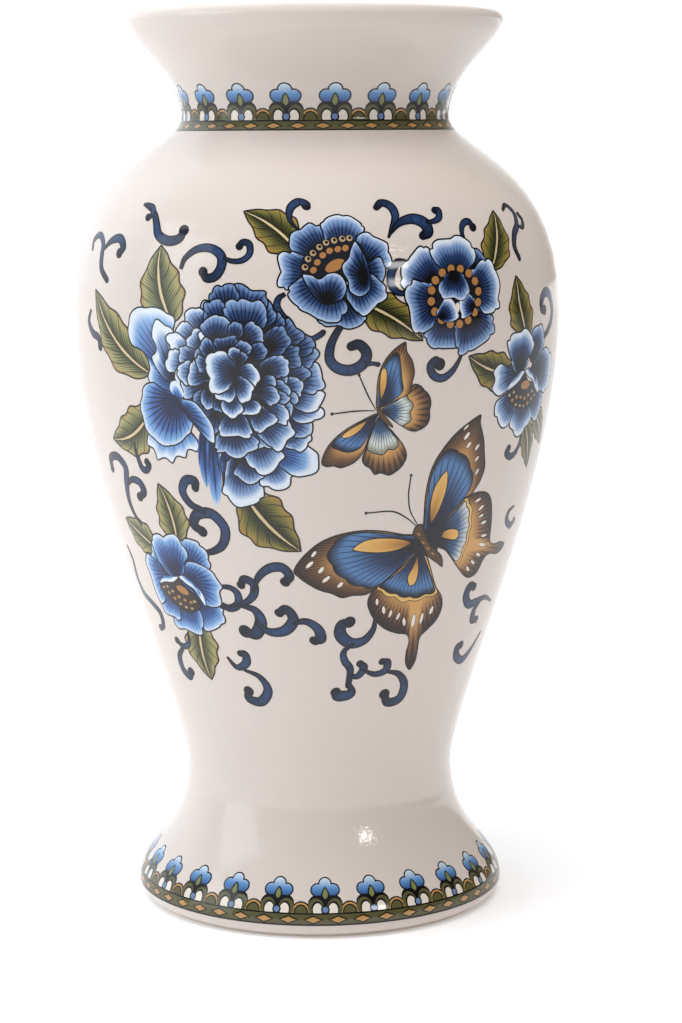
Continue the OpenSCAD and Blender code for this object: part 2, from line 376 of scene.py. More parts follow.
class Drawing:
    """Flat shapes on the glaze; each covers the ones before it.

    They are in mm round the point that is turn degrees from the front and height mm up.
    """

    LOBED_HALF = 115    # degrees each way from a petal's tip that its lobes take up
    NOTCH = 0.13        # depth of the notches, as a share of the way out from the petal's middle
    STROKE_INK = 0.5    # breadth of the dark edge along a scroll's stroke, mm
    RIBBON = 4          # steps of a stroke in each of the short shapes that it is made of

    def __init__(self, turn, height):
        self.turn, self.arc = math.radians(turn), SKIN.arc_at(height)
        self.piece = None
        self.shapes = []

    def shape(self, line, paint, at=plain, tone=0.0, ink=0.6):
        """A closed shape, with a dark edge ink mm wide unless ink is 0."""
        line = turned_left(np.array(line, float))
        if ink:
            self.shapes.append((self.piece, "ink", line, plain, 0.0))
            line = shrunk(line, ink)
        self.shapes.append((self.piece, paint, line, at, tone))

    def area(self, points, paint, root=None, tip=None, tone=0.0, ink=0.6, spacing=1.6, steps=5, waves=0):
        """A smooth-edged shape, coloured outwards from root; waves scallop its far edge."""
        line = turned_left(catmull(points, True, steps))
        if waves:
            off = line - np.array(root, float)
            reach = np.hypot(*off.T)
            bulge = np.abs(np.sin(waves * np.arctan2(off[:, 1], off[:, 0]))) - 0.6
            line += np.where(reach > 0.6 * reach.max(), 0.9 * bulge, 0)[:, None] * off / reach[:, None]
        at = plain if root is None else radial(root, tip or line.mean(0), line, spacing)
        self.shape(line, paint, at, tone, ink)

    def petal(self, rx, ry, tx, ty, width, lobes, tone=0.0, paint="petal", ink=0.62, spacing=1.5):
        """A petal from its root to its tip, its far edge notched into lobes."""
        root, tip = np.array((rx, ry), float), np.array((tx, ty), float)
        length = np.hypot(*(tip - root))
        along = (tip - root) / length
        across = np.array((-along[1], along[0]))
        a = np.linspace(-math.pi, math.pi, 14 * lobes + 12, endpoint=False)
        c = np.sign(np.cos(a)) * np.abs(np.cos(a)) ** 0.75
        q = (1 + c) / 2
        far, wide = length * q, width / 2 * np.sin(a) * (0.62 + 0.55 * q)
        span = math.radians(self.LOBED_HALF)
        uneven = a + 0.14 * np.sin(2.6 * a + rx + ty)
        wave = np.abs(np.sin(math.pi * lobes * (uneven + span) / (2 * span))) ** 0.6
        cut = 1 - np.where(np.abs(a) < span, self.NOTCH * (1 - wave), 0)
        centre = 0.42 * length
        far, wide = centre + (far - centre) * cut, wide * cut
        line = turned_left(wandering(root + far[:, None] * along + wide[:, None] * across))
        self.shape(line, paint, radial(root + 0.04 * length * along, tip, line, spacing), tone, ink)

    def petals(self, rows, wider=1.0, more=0, darker=0.0, **looks):
        """Several petals: each row is root, tip, width, lobes and tone."""
        for rx, ry, tx, ty, width, lobes, tone in rows:
            self.petal(rx, ry, tx, ty, wider * width, lobes + more, tone - darker, **looks)

    def leaf(self, bx, by, tx, ty, width, bend, paint="leaf"):
        """A pointed leaf from its base to its tip, its rib bent to the left by bend."""
        base, tip = np.array((bx, by), float), np.array((tx, ty), float)
        length = np.hypot(*(tip - base))
        left = np.array((-(tip - base)[1], (tip - base)[0])) / length
        u = np.linspace(0, 1, 34)
        rib = base + u[:, None] * (tip - base) + (4 * bend * u * (1 - u))[:, None] * left
        half = width / 2 * np.sin(math.pi * u**0.8) ** 0.75 * (1 + 0.07 * np.sin(23 * u)) * (1 - 0.3 * u**4)
        line = turned_left(np.vstack([rib + half[:, None] * left, (rib - half[:, None] * left)[-2:0:-1]]))
        def at(points):
            off = points - base
            share = off @ (tip - base) / length**2
            near = np.clip(share, 0, 1)
            side = off @ left - 4 * bend * near * (1 - near)
            return share, side / np.maximum(np.interp(near, u, half), 0.3)
        self.shape(line, paint, at)

    def stroke(self, points, start, widest, bulb=0.0, paint="scroll"):
        """A ribbon on a smooth line: it swells from start to widest, narrows, and ends in a bulb."""
        line = catmull(points, False, 6)
        fine = catmull(points, False, 36)
        ahead = np.gradient(line, axis=0)
        ahead /= np.maximum(np.hypot(*ahead.T), 1e-9)[:, None]
        left = np.stack([-ahead[:, 1], ahead[:, 0]], 1)
        def half(share):
            return (start + (1.12 * widest - start) * np.sin(0.8 * math.pi * share)) / 2
        breadth = half(np.linspace(0, 1, len(line)))
        def at(points):
            gap = np.hypot(points[:, None, 0] - fine[:, 0], points[:, None, 1] - fine[:, 1])
            near = gap.argmin(1) / (len(fine) - 1)
            return near, gap.min(1) / half(near)
        layers = [("ink", plain, 0.0)]
        if paint != "ink":
            layers.append((paint, at, self.STROKE_INK))
        for name, where, less in layers:
            body = np.maximum(breadth - less, 0.05)
            for first in range(0, len(line) - 1, self.RIBBON):
                part = slice(first, min(first + self.RIBBON + 1, len(line)))
                a = line[part] + body[part, None] * left[part]
                b = line[part] - body[part, None] * left[part]
                ribbon = turned_left(np.vstack([b, a[::-1]]))
                self.shapes.append((self.piece, name, ribbon, where, 0.0))
            cap = self.round(*line[-1], max(bulb, breadth[-1]) - less)
            self.shapes.append((self.piece, name, cap, where, 0.0))

    def strokes(self, *rows):
        """Several scroll strokes: each row is start, widest and bulb, then the points."""
        for start, widest, bulb, *points in rows:
            self.stroke(points, start, widest, bulb)

    @staticmethod
    def round(x, y, rx, ry=None, tilt=0.0, count=None):
        """A circle or an ellipse, tilted in degrees."""
        ry = ry or rx
        count = count or max(10, int(8 * math.sqrt(rx + ry)))
        a = np.linspace(0, 2 * math.pi, count, endpoint=False)
        c, s = math.cos(math.radians(tilt)), math.sin(math.radians(tilt))
        px, py = rx * np.cos(a), ry * np.sin(a)
        return np.stack([x + c * px - s * py, y + s * px + c * py], 1)

    def dot(self, x, y, rx, ry=None, paint="gold", tilt=0.0, ink=0.0):
        self.shape(self.round(x, y, rx, ry, tilt), paint, ink=ink)

    def wing_spots(self, *rows):
        """Cream spots on a wing's margin: each row is the place, two radii and the tilt."""
        for x, y, long, wide, tilt in rows:
            self.dot(x, y, long, wide, "cream", tilt, ink=0.25)

    def stamens(self, *rows):
        """Small beads in a flower's throat, the larger ones golden: each row is the place and size."""
        for x, y, size in rows:
            self.dot(x, y, size, size * 0.8, paint="gold" if size > 1.0 else "bead", ink=0.2)


def inside(points, line):
    """Which points are inside a closed line."""
    found = np.zeros(len(points), bool)
    x, y = points.T
    for (ax, ay), (bx, by) in zip(line, np.roll(line, -1, 0)):
        if ay != by:
            found ^= ((ay > y) != (by > y)) & (x < (bx - ax) * (y - ay) / (by - ay) + ax)
    return found


ROW_PITCH = 0.87        # between rows of inner points, as a share of their spacing along a row


def cut_up(shapes, grid, half=None):
    """Cuts overlapping shapes into triangles: points, triangles, and the shape that each shows."""
    lines = [s[2] for s in shapes]
    every = np.vstack(lines)
    (x0, y0), (x1, y1) = every.min(0), every.max(0)
    gx, gy = np.meshgrid(np.arange(x0, x1, grid), np.arange(y0, y1, grid * ROW_PITCH))
    gx[1::2] += grid / 2
    spots = np.stack([gx.ravel(), gy.ravel()], 1)
    spots = spots[topmost(spots, lines) >= 0]
    if half:
        lines = lines + [np.array([(-half, y0 - 1), (half, y0 - 1), (half, y1 + 1), (-half, y1 + 1)])]
    edges, first = [], 0
    for line in lines:
        count = len(line)
        edges.extend((first + i, first + (i + 1) % count) for i in range(count))
        first += count
    points = np.vstack(lines + [spots])
    found = delaunay_2d_cdt([Vector(p) for p in points], edges, [], 0, 1e-3, False)
    flat = np.array([tuple(v) for v in found[0]], float)
    triangles = np.array([t for t in found[2] if len(t) == 3])
    middles = flat[triangles].mean(1)
    tops = topmost(middles, [s[2] for s in shapes])
    kept = tops >= 0
    if half:
        kept &= np.abs(middles[:, 0]) < half
    return flat, triangles[kept].tolist(), tops[kept].tolist()


def topmost(points, lines):
    """For each point the last of the closed lines that it is inside, or -1."""
    found = np.full(len(points), -1)
    for number, line in enumerate(lines):
        (ax, ay), (bx, by) = line.min(0), line.max(0)
        x, y = points.T
        near = np.flatnonzero((x > ax) & (x < bx) & (y > ay) & (y < by))
        if len(near):
            found[near[inside(points[near], line)]] = number
    return found


class Piece:
    """One printed piece: a thin closed film on the glaze, built up from cut drawings."""

    THICK = 0.08    # above the glaze, mm
    SUNK = 0.06     # below it
    UV_RADIUS = 80.0    # mm, turns an angle into a length on the bake layout
    CORNER_IN = 0.98    # how near its corners a triangle's paint is worked out
    MERGE = 2e6         # points are merged to the nearest 1 / MERGE of a metre

    def __init__(self):
        self.points, self.faces, self.paints = [], [], []
        self.corners, self.uvs, self.normals = [], [], []

    def add(self, drawing, flat, triangles, tops, copies=(0.0,), reference=None):
        """Lays the triangles on the glaze, at each of the copies' angles."""
        used = sorted({v for t in triangles for v in t})
        place = {v: i for i, v in enumerate(used)}
        xy = flat[used]
        arc = drawing.arc + xy[:, 1]
        radius = reference or np.interp(arc, SKIN.step, SKIN.r)
        corner_sets = []
        edges = {}
        for triangle, top in zip(triangles, tops):
            name, paint, line, at, tone = drawing.shapes[top]
            spots = flat[list(triangle)]
            edge_in = spots.mean(0) + (spots - spots.mean(0)) * self.CORNER_IN
            along, across = at(edge_in)
            corner_sets.append([(a, b, tone) for a, b in zip(along, across)])
            ids = [place[v] for v in triangle]
            for k in range(3):
                edges[(ids[k], ids[(k + 1) % 3])] = (len(corner_sets) - 1, k)
        rim = [(e, where) for e, where in edges.items() if (e[1], e[0]) not in edges]
        if reference:
            on_seam = np.abs(np.abs(xy[:, 0]) - drawing.half_pitch) < 0.02
            rim = [r for r in rim if not (on_seam[r[0][0]] and on_seam[r[0][1]])]
        for turn in copies:
            angle = drawing.turn + turn + xy[:, 0] / radius
            top_points, normals = SKIN.place(angle, arc, self.THICK)
            low_points, normals = SKIN.place(angle, arc, -self.SUNK)
            uv = np.stack([xy[:, 0] if reference else angle * self.UV_RADIUS, arc], 1)
            first, low = len(self.points), len(self.points) + len(xy)
            self.points.extend(top_points.tolist())
            self.points.extend(low_points.tolist())
            for triangle, top, corner in zip(triangles, tops, corner_sets):
                a, b, c = (place[v] for v in triangle)
                paint = drawing.shapes[top][1]
                sides = (((a, b, c), first, 1, (0, 1, 2)), ((a, c, b), low, -1, (0, 2, 1)))
                for ids, base, sign, order in sides:
                    self.faces.append([base + i for i in ids])
                    self.paints.append(paint)
                    self.corners.extend(corner[k] for k in order)
                    self.uvs.extend(uv[i] for i in ids)
                    self.normals.extend(sign * normals[i] for i in ids)
            for (a, b), (index, k) in rim:
                paint = drawing.shapes[tops[index]][1]
                ahead = uv[b] - uv[a]
                ahead = ahead / max(np.hypot(*ahead), 1e-9)
                inward = 0.2 * np.array((-ahead[1], ahead[0]))
                wall = np.cross(top_points[b] - top_points[a], normals[a])
                wall = wall / max(np.linalg.norm(wall), 1e-12)
                ca, cb = corner_sets[index][k], corner_sets[index][(k + 1) % 3]
                self.faces.append([low + a, low + b, first + b, first + a])
                self.paints.append(paint)
                self.corners.extend((ca, cb, cb, ca))
                self.uvs.extend((uv[a] + inward, uv[b] + inward, uv[b], uv[a]))
                self.normals.extend([wall] * 4)

    def build(self, name, slot, spin=0.0):
        """The finished object: shared points merged, and its paint, bake layout and normals set."""
        keys, merged, index = {}, [], []
        for p in self.points:
            key = tuple(round(v * self.MERGE) for v in p)
            if key not in keys:
                keys[key] = len(merged)
                merged.append(p)
            index.append(keys[key])
        faces, paints, corners = [], [], []
        first = 0
        for face, paint in zip(self.faces, self.paints):
            ids = [index[i] for i in face]
            if len(set(ids)) == len(ids):
                faces.append(ids)
                paints.append(paint)
                corners.extend(range(first, first + len(ids)))
            first += len(ids)
        mesh = bpy.data.meshes.new(name)
        mesh.from_pydata(merged, [], faces)
        used = sorted(set(paints))
        for paint in used:
            mesh.materials.append(PAINTS[paint].material)
        mesh.polygons.foreach_set("material_index", [used.index(p) for p in paints])
        mesh.polygons.foreach_set("use_smooth", [True] * len(faces))
        store = mesh.attributes.new("paint", "FLOAT_VECTOR", "CORNER")
        store.data.foreach_set("vector", np.array(self.corners, np.float32)[corners].ravel())
        uv = np.array(self.uvs, float)[corners]
        low, high = uv.min(0), uv.max(0)
        uv = 0.01 + 0.98 * (uv - low) / (high - low)
        layer = mesh.uv_layers.new(name="OFBake")
        layer.data.foreach_set("uv", uv.astype(np.float32).ravel())
        mesh.normals_split_custom_set([tuple(self.normals[i]) for i in corners])
        if spin:
            mesh.transform(Matrix.Rotation(spin, 4, "Z"))
        piece = bpy.data.objects.new(name, mesh)
        bpy.context.collection.objects.link(piece)
        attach(piece, "root")
        return piece


# ---------------------------------------------------------------- the spray: peony


def draw_peony():
    d = Drawing(-17, 217)
    d.piece = "leaves"
    d.leaf(-27, 18, -34, 47, 21, 3, "dry_leaf")
    d.leaf(-38, -1, -73, 29, 19, 4, "dry_leaf")
    d.leaf(-40, -15, -66, -28, 19, 4, "dry_leaf")
    d.leaf(-2, -44, 18, -67.5, 21, -2)
    d.piece = "scrolls"
    d.strokes(
        (1.6, 3.4, 1.9, (-24, 38), (-22.5, 42), (-18, 45.4), (-12.5, 46), (-8, 43.5), (-7.3, 39.5),
         (-9.5, 35.8), (-13, 35), (-14.6, 37.2)),
        (1.5, 2.4, 1.5, (-7, 42.6), (-3.5, 41.3), (0.5, 41.6), (3, 44), (2.6, 47.6), (0, 48.3), (-1, 46.8)),
        (1.2, 2.6, 1.5, (-51, -28), (-50, -33), (-48, -37.8), (-45.5, -38.6), (-43.6, -36.6),
         (-44.6, -35.2)),
        (1.4, 3.6, 2.2, (-47.4, 63), (-41, 60), (-38.4, 56), (-36, 50.6), (-31, 48.4), (-26, 49.4),
         (-24.4, 52.6)),
        (1.2, 2.4, 1.6, (-46, 63.2), (-41.8, 61.8), (-41, 58.8), (-43, 57.4)),
        (1.6, 2.8, 0, (-80, 43), (-80.6, 47), (-75, 49.4), (-70.6, 46.6), (-70, 42), (-69, 36.6),
         (-64, 32.6)),
        (1.2, 3.4, 2.0, (-69.6, 43.6), (-64, 47.4), (-58, 48.6), (-55, 45.6), (-57, 43)),
        (1.2, 2.8, 1.7, (-76.7, 21), (-79, 16.5), (-75.8, 12.4), (-70.6, 10.6), (-69.4, 7.4)),
        (1.6, 2.6, 0, (17, 29.6), (14.6, 28), (14, 25), (16, 21.6), (18, 20.4)),
        (2.2, 2.0, 0, (22, 12.4), (26, 13.2), (29, 14.6), (30.6, 15.8)),
    )
    d.piece = "peony"
    # loose petals on the left, and the two that trail below them
    d.area([(-24, -2), (-29, 4), (-31, 9), (-27, 15), (-26, 20), (-31, 23), (-38, 24), (-44, 23.6),
            (-49, 20), (-50, 14), (-47.5, 9), (-42, 7), (-39, 2), (-40, -3), (-34, -8), (-27, -7)],
            "soft_petal", (-25, -3), (-46, 16), 0.05, spacing=1.7, waves=9)
    d.area([(-35, 19.4), (-31, 18.4), (-27, 16), (-24.4, 10.5), (-24, 4), (-25.5, -3), (-30, -3.6),
            (-34.7, 0), (-37.6, 5), (-35.4, 9), (-37.4, 13.4)], "petal", (-25, -6), (-35, 14), 0.12,
            spacing=2.2, waves=7)
    d.area([(-41, -22), (-43.5, -28), (-40, -30), (-38.5, -34), (-34.5, -33), (-31, -34.8), (-28.5, -32),
            (-24.5, -32.2), (-23, -29), (-19, -29.4), (-18.5, -25), (-24, -20), (-34, -20)],
           "soft_petal", (-27, -10), (-33, -33), 0.05, spacing=1.7)
    d.area([(-17.5, -22), (-19, -30), (-18.6, -37), (-16.5, -43), (-15, -38), (-14.5, -24)],
           "soft_petal", (-16, -16), (-16.5, -43), -0.12, ink=0.0, spacing=2.4)
    d.area([(-14.5, -23), (-15, -34), (-15.2, -44), (-13.5, -50.5), (-11, -46), (-10, -36), (-10.5, -24)],
           "soft_petal", (-12.5, -16), (-13, -51), -0.05, ink=0.0, spacing=2.4)
    d.area([(-23, -8), (-32, -6), (-38, -3.6), (-42.5, -6), (-45, -12), (-44.5, -19), (-41, -25),
            (-36, -27.6), (-31, -28.4), (-27, -26.5), (-22, -23), (-19.5, -17), (-21, -11)], "soft_petal",
            (-26.5, -9.5), (-40, -20), 0.0, spacing=1.7, waves=7)
    # petals below the head
    for rx, ry, tx, ty, width, lobes, tone in (
        (-8, -26, -8, -46, 5, 1, 0.0), (-2, -28, -1.5, -50.5, 18, 3, 0.1), (7, -28, 13.5, -42.5, 15, 3, 0.1),
        (0.5, -28, 1, -41, 12, 3, 0.0), (6, -27, 27.6, -33.6, 14, 1, 0.1), (3, -18, 9, -37, 16, 3, 0.05),
    ):
        d.petal(rx, ry, tx, ty, width, lobes, tone, "soft_petal" if lobes == 1 else "petal", spacing=1.25)
    d.shape(d.round(-1, 0, 27, 26), "heart")
    # the head, from its rim to its heart
    d.petals((
        (12, -19, 24, -26, 9, 3, 0.05), (13, -15, 26.2, -20.5, 9, 2, 0.0), (13, -11, 30, -14.5, 8, 2, 0.1),
        (13, -7, 31.2, -8, 10, 2, 0.1), (14, -2, 30.9, 0.5, 11, 3, 0.0), (14, 3, 29, 9, 8, 2, -0.05),
        (13, 7, 27.5, 13, 7, 2, -0.12), (11, 10, 22.5, 18.2, 10, 3, -0.12), (8, 13, 15, 23.8, 8, 2, -0.12),
        (5, 15, 11.5, 27.5, 9, 2, -0.1), (1, 18, 4, 32.7, 15, 3, -0.12), (-4, 19, -6.5, 33.8, 10, 3, -0.12),
        (-8, 16, -14, 27, 10, 2, 0.0), (-11, 13, -20.5, 23, 9, 2, 0.05), (-13, 10, -25.5, 17, 8, 2, 0.05),
        (-15, 6, -30.5, 13, 7, 2, 0.22), (-16, 3, -31, 5, 9, 3, 0.1), (-16, -1, -27.5, -3, 7, 2, 0.1),
        # second row
        (-10, -2, -25, -7, 8, 3, 0.0), (-9, -6, -20, -13.5, 8, 2, -0.05), (-6, -10, -15, -20, 8, 2, -0.05),
        (4, -14, 8, -28, 10, 3, 0.0), (13, -3, 25, 4, 9, 3, -0.08), (11, -5, 24, -3.5, 8, 2, 0.0),
        (11, -9, 21, -8, 7, 2, 0.0),
        (10, -12, 19.5, -13.5, 7, 2, 0.0), (10, 6, 23.5, 7.5, 8, 3, -0.1), (8, 9, 18.5, 15.5, 9, 3, -0.1),
        (-6, 14, -11.5, 28, 9, 3, -0.08), (2, 11, 2.5, 28.5, 15, 4, -0.05), (0, 12, 9.5, 17, 8, 2, 0.0),
        (4, -14, 17, -25, 12, 3, 0.05), (-4, -17, -3, -31, 16, 4, 0.0), (-10, -12, -11.5, -22, 6, 2, -0.05),
        (-13, 4, -25.5, 8, 8, 3, 0.0), (-13, 0, -26, 0.5, 8, 3, 0.05), (-12, 8, -20, 16, 8, 3, 0.05),
        (-13, 8, -15, 16.5, 4.5, 1, 0.32), (-9, 9, -8, 22, 12, 3, -0.02), (-2, 11, -1.5, 20.5, 6, 2, -0.05),
        # third row
        (10, 0, 18.5, 0.5, 7, 3, 0.0), (7, 1, 18, 5, 9, 4, 0.02), (8, -5, 19, -4.5, 6, 2, 0.0),
        (7, -7, 18, -9, 6, 2, 0.0), (5, -8, 17.5, -17, 8, 3, 0.05), (4, -11, 10.5, -20, 9, 3, 0.05),
        (-3, -12, -3, -24, 12, 3, 0.05), (2, 6, 9.5, 11, 7, 3, -0.05), (-12, 5, -17.5, 8, 6, 2, 0.0),
        (-10, 6, -14.5, 13, 6, 2, 0.0), (-11, 0, -21.5, 0, 9, 3, 0.05), (-10, 3, -18, 4.5, 6, 2, 0.0),
        (-12, -5, -14.5, -13, 6, 2, 0.05), (-8, -7, -9.5, -15, 5, 1, -0.05), (5, -2, 13.5, -3.5, 7, 3, 0.02),
        (4, -5, 14.5, -8.5, 6, 2, 0.02),
        # heart
        (-5, 6, -5.5, 15, 9, 3, -0.1), (-2, 6, 4, 12, 6, 2, 0.0), (-1, 4, 2, 9.5, 6, 2, 0.0),
        (1, -8, 5, -15, 7, 2, 0.12), (-4, -7, -3.5, -16, 8, 2, 0.12), (-3, 2, 7, -2, 9, 3, 0.1),
        (-3, -1, 4, -8.5, 8, 2, 0.12), (-3, -2, -9, -9.5, 8, 2, 0.12), (-1, 1.5, -14, 1, 15, 4, 0.14),
        (-0.5, 5, -3, 10, 6, 2, 0.1),
    ), wider=1.22, more=1, spacing=1.35)
    d.area([(-28, -3.4), (-28.6, -6.6), (-24.5, -9), (-19, -10), (-14.5, -14.5), (-11.5, -20), (-11, -25.6),
            (-14.5, -25), (-19.5, -19.5), (-24, -14.5), (-26.5, -10), (-24, -8), (-25.5, -4.5)],
           "soft_petal", (-25, -14), (-13, -20), 0.05, spacing=1.8, waves=5)
    return d


# ---------------------------------------------------------------- the spray: two upper flowers


def draw_upper_flowers():
    d = Drawing(18, 250)
    d.piece = "leaves"
    d.leaf(-35, 11, -53.5, 27.5, 17, -2)
    d.leaf(-16, -6, 9.8, -21.3, 15, 1.5)
    d.leaf(41, 3, 48, 26.5, 16, -2)
    d.piece = "scrolls"
    d.strokes(
        (1.0, 3.0, 1.7, (-34.5, 20), (-36.8, 24), (-35.8, 28.6), (-32.5, 31.3), (-29.8, 30.4), (-30, 29.4)),
        (0.9, 3.2, 0, (-2, 16.5), (0.2, 20.8), (2, 25), (1, 29), (-2.2, 30.6), (-4.6, 28.6)),
        (0.9, 4.4, 0, (-1, 18), (3, 22.2), (8.5, 23.8), (13, 22), (14, 18.6), (11.6, 17)),
        (1.2, 2.6, 1.6, (13.6, 22.4), (17, 22.6), (19.6, 24), (20, 27), (18.6, 27)),
        (0.9, 2.6, 1.8, (30, 14), (28.8, 18), (30.2, 21.4), (33, 22), (34.6, 19.8)),
        (1.4, 3.0, 0, (5.8, -2.6), (1, -3.8), (-2.3, -1), (-2, 4), (0.4, 7.2), (3, 7.4)),
        (2.2, 3.8, 0, (-19.4, -13), (-22.6, -17), (-25, -22.2), (-25.2, -27.2), (-22, -30.4), (-17.2, -31),
         (-13, -28.6), (-12, -24.8), (-14.7, -21.8), (-17.6, -22.4)),
        (2.4, 1.4, 0, (-12.6, -29), (-9.8, -28.8), (-7.6, -29.2)),
        (0.9, 3.0, 2.4, (27, -24.5), (25, -29), (22, -33), (18, -35.2), (14.2, -34), (12.8, -30.6),
         (15, -28.4), (16.6, -30)),
    )
    # flower with stamens
    d.piece = "stamen_flower"
    d.petals((
        (-21, -4, -21, -16.2, 17, 3, 0.0), (-25, 8, -35, 20, 16, 3, 0.0), (-20, 9, -17.6, 26, 15, 3, 0.05),
        (-15, 5, -3.5, 15.5, 14, 2, 0.05), (-27, 3, -44, 5.5, 14, 3, 0.05), (-16, 4, -4.5, 2, 13, 2, 0.0),
        (-17, 3, -7.5, -9, 15, 3, 0.05), (-24, 3, -32.5, -11.8, 21, 4, 0.0),
    ), wider=1.15, more=1, darker=0.04, spacing=1.3)
    d.shape(d.round(-23, 8, 12.5, 8.5, 22), "heart", ink=0)
    for x, y in ((-33.4, 6), (-32, 9), (-30, 11.2), (-27.5, 13.4), (-25, 15), (-22, 15.8),
                 (-19, 16.4), (-16.4, 16.6)):
        d.dot(x, y, 1.15, paint="bead")
        d.dot(x + 0.2, y + 0.2, 0.6, paint="ink")
    for x, y in ((-30.4, 5), (-28.8, 7.8), (-26.6, 10.4), (-24, 12), (-21, 12.6), (-18.2, 13)):
        d.dot(x, y, 1.3, 1.1, paint="gold", tilt=40)
    d.dot(-22.6, 6.6, 3.9, 1.9, paint="gold", tilt=28)
    d.area([(-14.4, 15.8), (-16.6, 12.8), (-17.8, 9.5), (-20.2, 7), (-20.2, 4), (-18.6, 1), (-18, -3),
            (-14, -5), (-10, -2), (-10, 5), (-11.6, 11)], "petal", (-11.5, 2), (-19.5, 6), 0.0,
            spacing=1.4)
    d.area([(-34.8, 3.4), (-31, 3.5), (-28.4, 2.1), (-25.5, 4), (-22, 4.2), (-19.4, 2), (-18.6, -2),
            (-21, -6), (-27, -7.5), (-32, -3)], "petal", (-26.5, -7.4), (-26, 4), 0.0, spacing=1.4)
    # flower with a ring of dots
    d.piece = "ring_flower"
    d.petals((
        (30, 1, 38, 10, 9, 2, -0.05), (20, -10, 17.5, -25, 14, 3, 0.0), (28, -10, 35, -25, 18, 4, 0.0),
        (16, -2, 4, 9, 16, 3, 0.1), (18, -7, 2.8, -9.5, 17, 3, 0.05), (24, -2, 24, 17.2, 17, 3, 0.1),
        (29, -4, 45.5, -1.5, 18, 4, 0.1),
    ), wider=1.28, more=1, darker=0.04, spacing=1.3)
    d.shape(d.round(23.5, -5.6, 11, 10.6), "heart", ink=0)
    for step in range(16):
        a = math.radians(22.5 * step + 8)
        d.dot(23.5 + 10.6 * math.cos(a), -5.6 + 10.2 * math.sin(a), 1.85, paint="gold", ink=0.3)
    d.petal(32.6, -10, 24.8, -8.4, 11, 3, 0.1, ink=0.35, spacing=1.2)
    d.petal(16, -13.5, 23, -8, 10, 3, 0.1, ink=0.35, spacing=1.2)
    d.petal(23.2, 4.4, 22.6, -7.4, 14, 4, 0.0, ink=0.35, spacing=1.2)
    d.dot(24.2, -9.6, 0.9, 1.8, paint="cream")
    return d


# ---------------------------------------------------------------- the spray: two bell flowers


def draw_bell_flower():
    d = Drawing(54, 213)
    d.piece = "leaves"
    d.leaf(3.5, 14, -3.6, 38, 16, 2)
    d.leaf(-5, 1.5, -30.5, 9.5, 15, 2)
    d.leaf(8, -18, 19, -38, 11, 1)
    d.leaf(14, -14, 33, -30, 11, 1)
    d.piece = "scrolls"
    d.strokes(
        (2.2, 3.4, 2.0, (15, 13.5), (20.5, 14.6), (26, 18.6), (27.4, 24.5), (24, 29.4), (19, 30.2),
         (15.4, 27.4), (15.4, 24.2), (18, 23.6)),
        (1.4, 2.6, 0, (0, 63), (4, 65.4), (7.4, 62), (6, 57), (1.6, 53.4), (-0.6, 48.6), (0.6, 44)),
        (1.2, 2.0, 1.3, (6, 57), (9.6, 55.8), (12, 58.4), (10.6, 61)),
        (1.0, 2.6, 1.6, (6.4, -22), (6.9, -26.5), (4.6, -30.4), (1, -31.4), (-2, -29.6), (-1, -28)),
    )
    d.piece = "bell_flower"
    d.petals((
        (7, 5, 16, 17.4, 14, 3, 0.0), (9, -3, 20, -18, 14, 3, 0.0), (4, -4, 4.5, -24, 18, 3, 0.05),
        (0, -4, -12.5, -17, 14, 2, 0.05), (8, 2, 31, -1, 19, 4, 0.05),
    ), spacing=1.5)
    d.area([(-9, 4.5), (-13.5, 5.8), (-17.3, 3), (-16.2, -0.5), (-17.2, -4), (-13, -7), (-8.5, -5.6),
            (-4, -3), (0, -1), (3, 1.2), (1, 6), (-5, 6)], "petal", (1, 2.6), (-16, -1), 0.1, spacing=1.7)
    d.petal(-1, 1, -0.5, 18, 20, 4, 0.08, spacing=1.5)
    d.area([(3, 1.4), (-1, 0), (-5, -3), (-8, -6), (-6, -9.5), (0, -12.5), (7, -13.5), (14, -11.5),
            (17.2, -8), (14, -6.6), (11, -3.6), (6, -2)], "heart", ink=0.3)
    d.dot(4.5, -3.8, 3.4, 1.7, paint="gold")
    d.stamens((-6, -7, 1.0), (-3.4, -6, 0.9), (-3.8, -9, 1.1), (-1, -8, 1.2), (-1, -11, 1.0),
              (2, -8.4, 1.1), (2, -11.6, 1.0), (5, -9, 1.1), (5, -12, 0.9), (8, -8, 1.2), (8, -11.2, 1.1),
              (11, -9.8, 1.0), (11, -6.8, 1.0), (13.6, -8.6, 0.9))
    d.area([(3.2, 1.6), (6, -1), (10, -2.6), (13.4, -6), (17.4, -8.2), (15.4, -3.4), (12, 0), (7, 2.6)],
           "petal", (9, 3), (13, -5), 0.22, ink=0.3, spacing=1.2)
    d.area([(3, 1.4), (0, 1.8), (-5, -0.6), (-8.4, -5), (-4.4, -4), (-0.6, -2)],
           "petal", (-3, 3), (-6, -4), 0.22, ink=0.3, spacing=1.2)
    return d


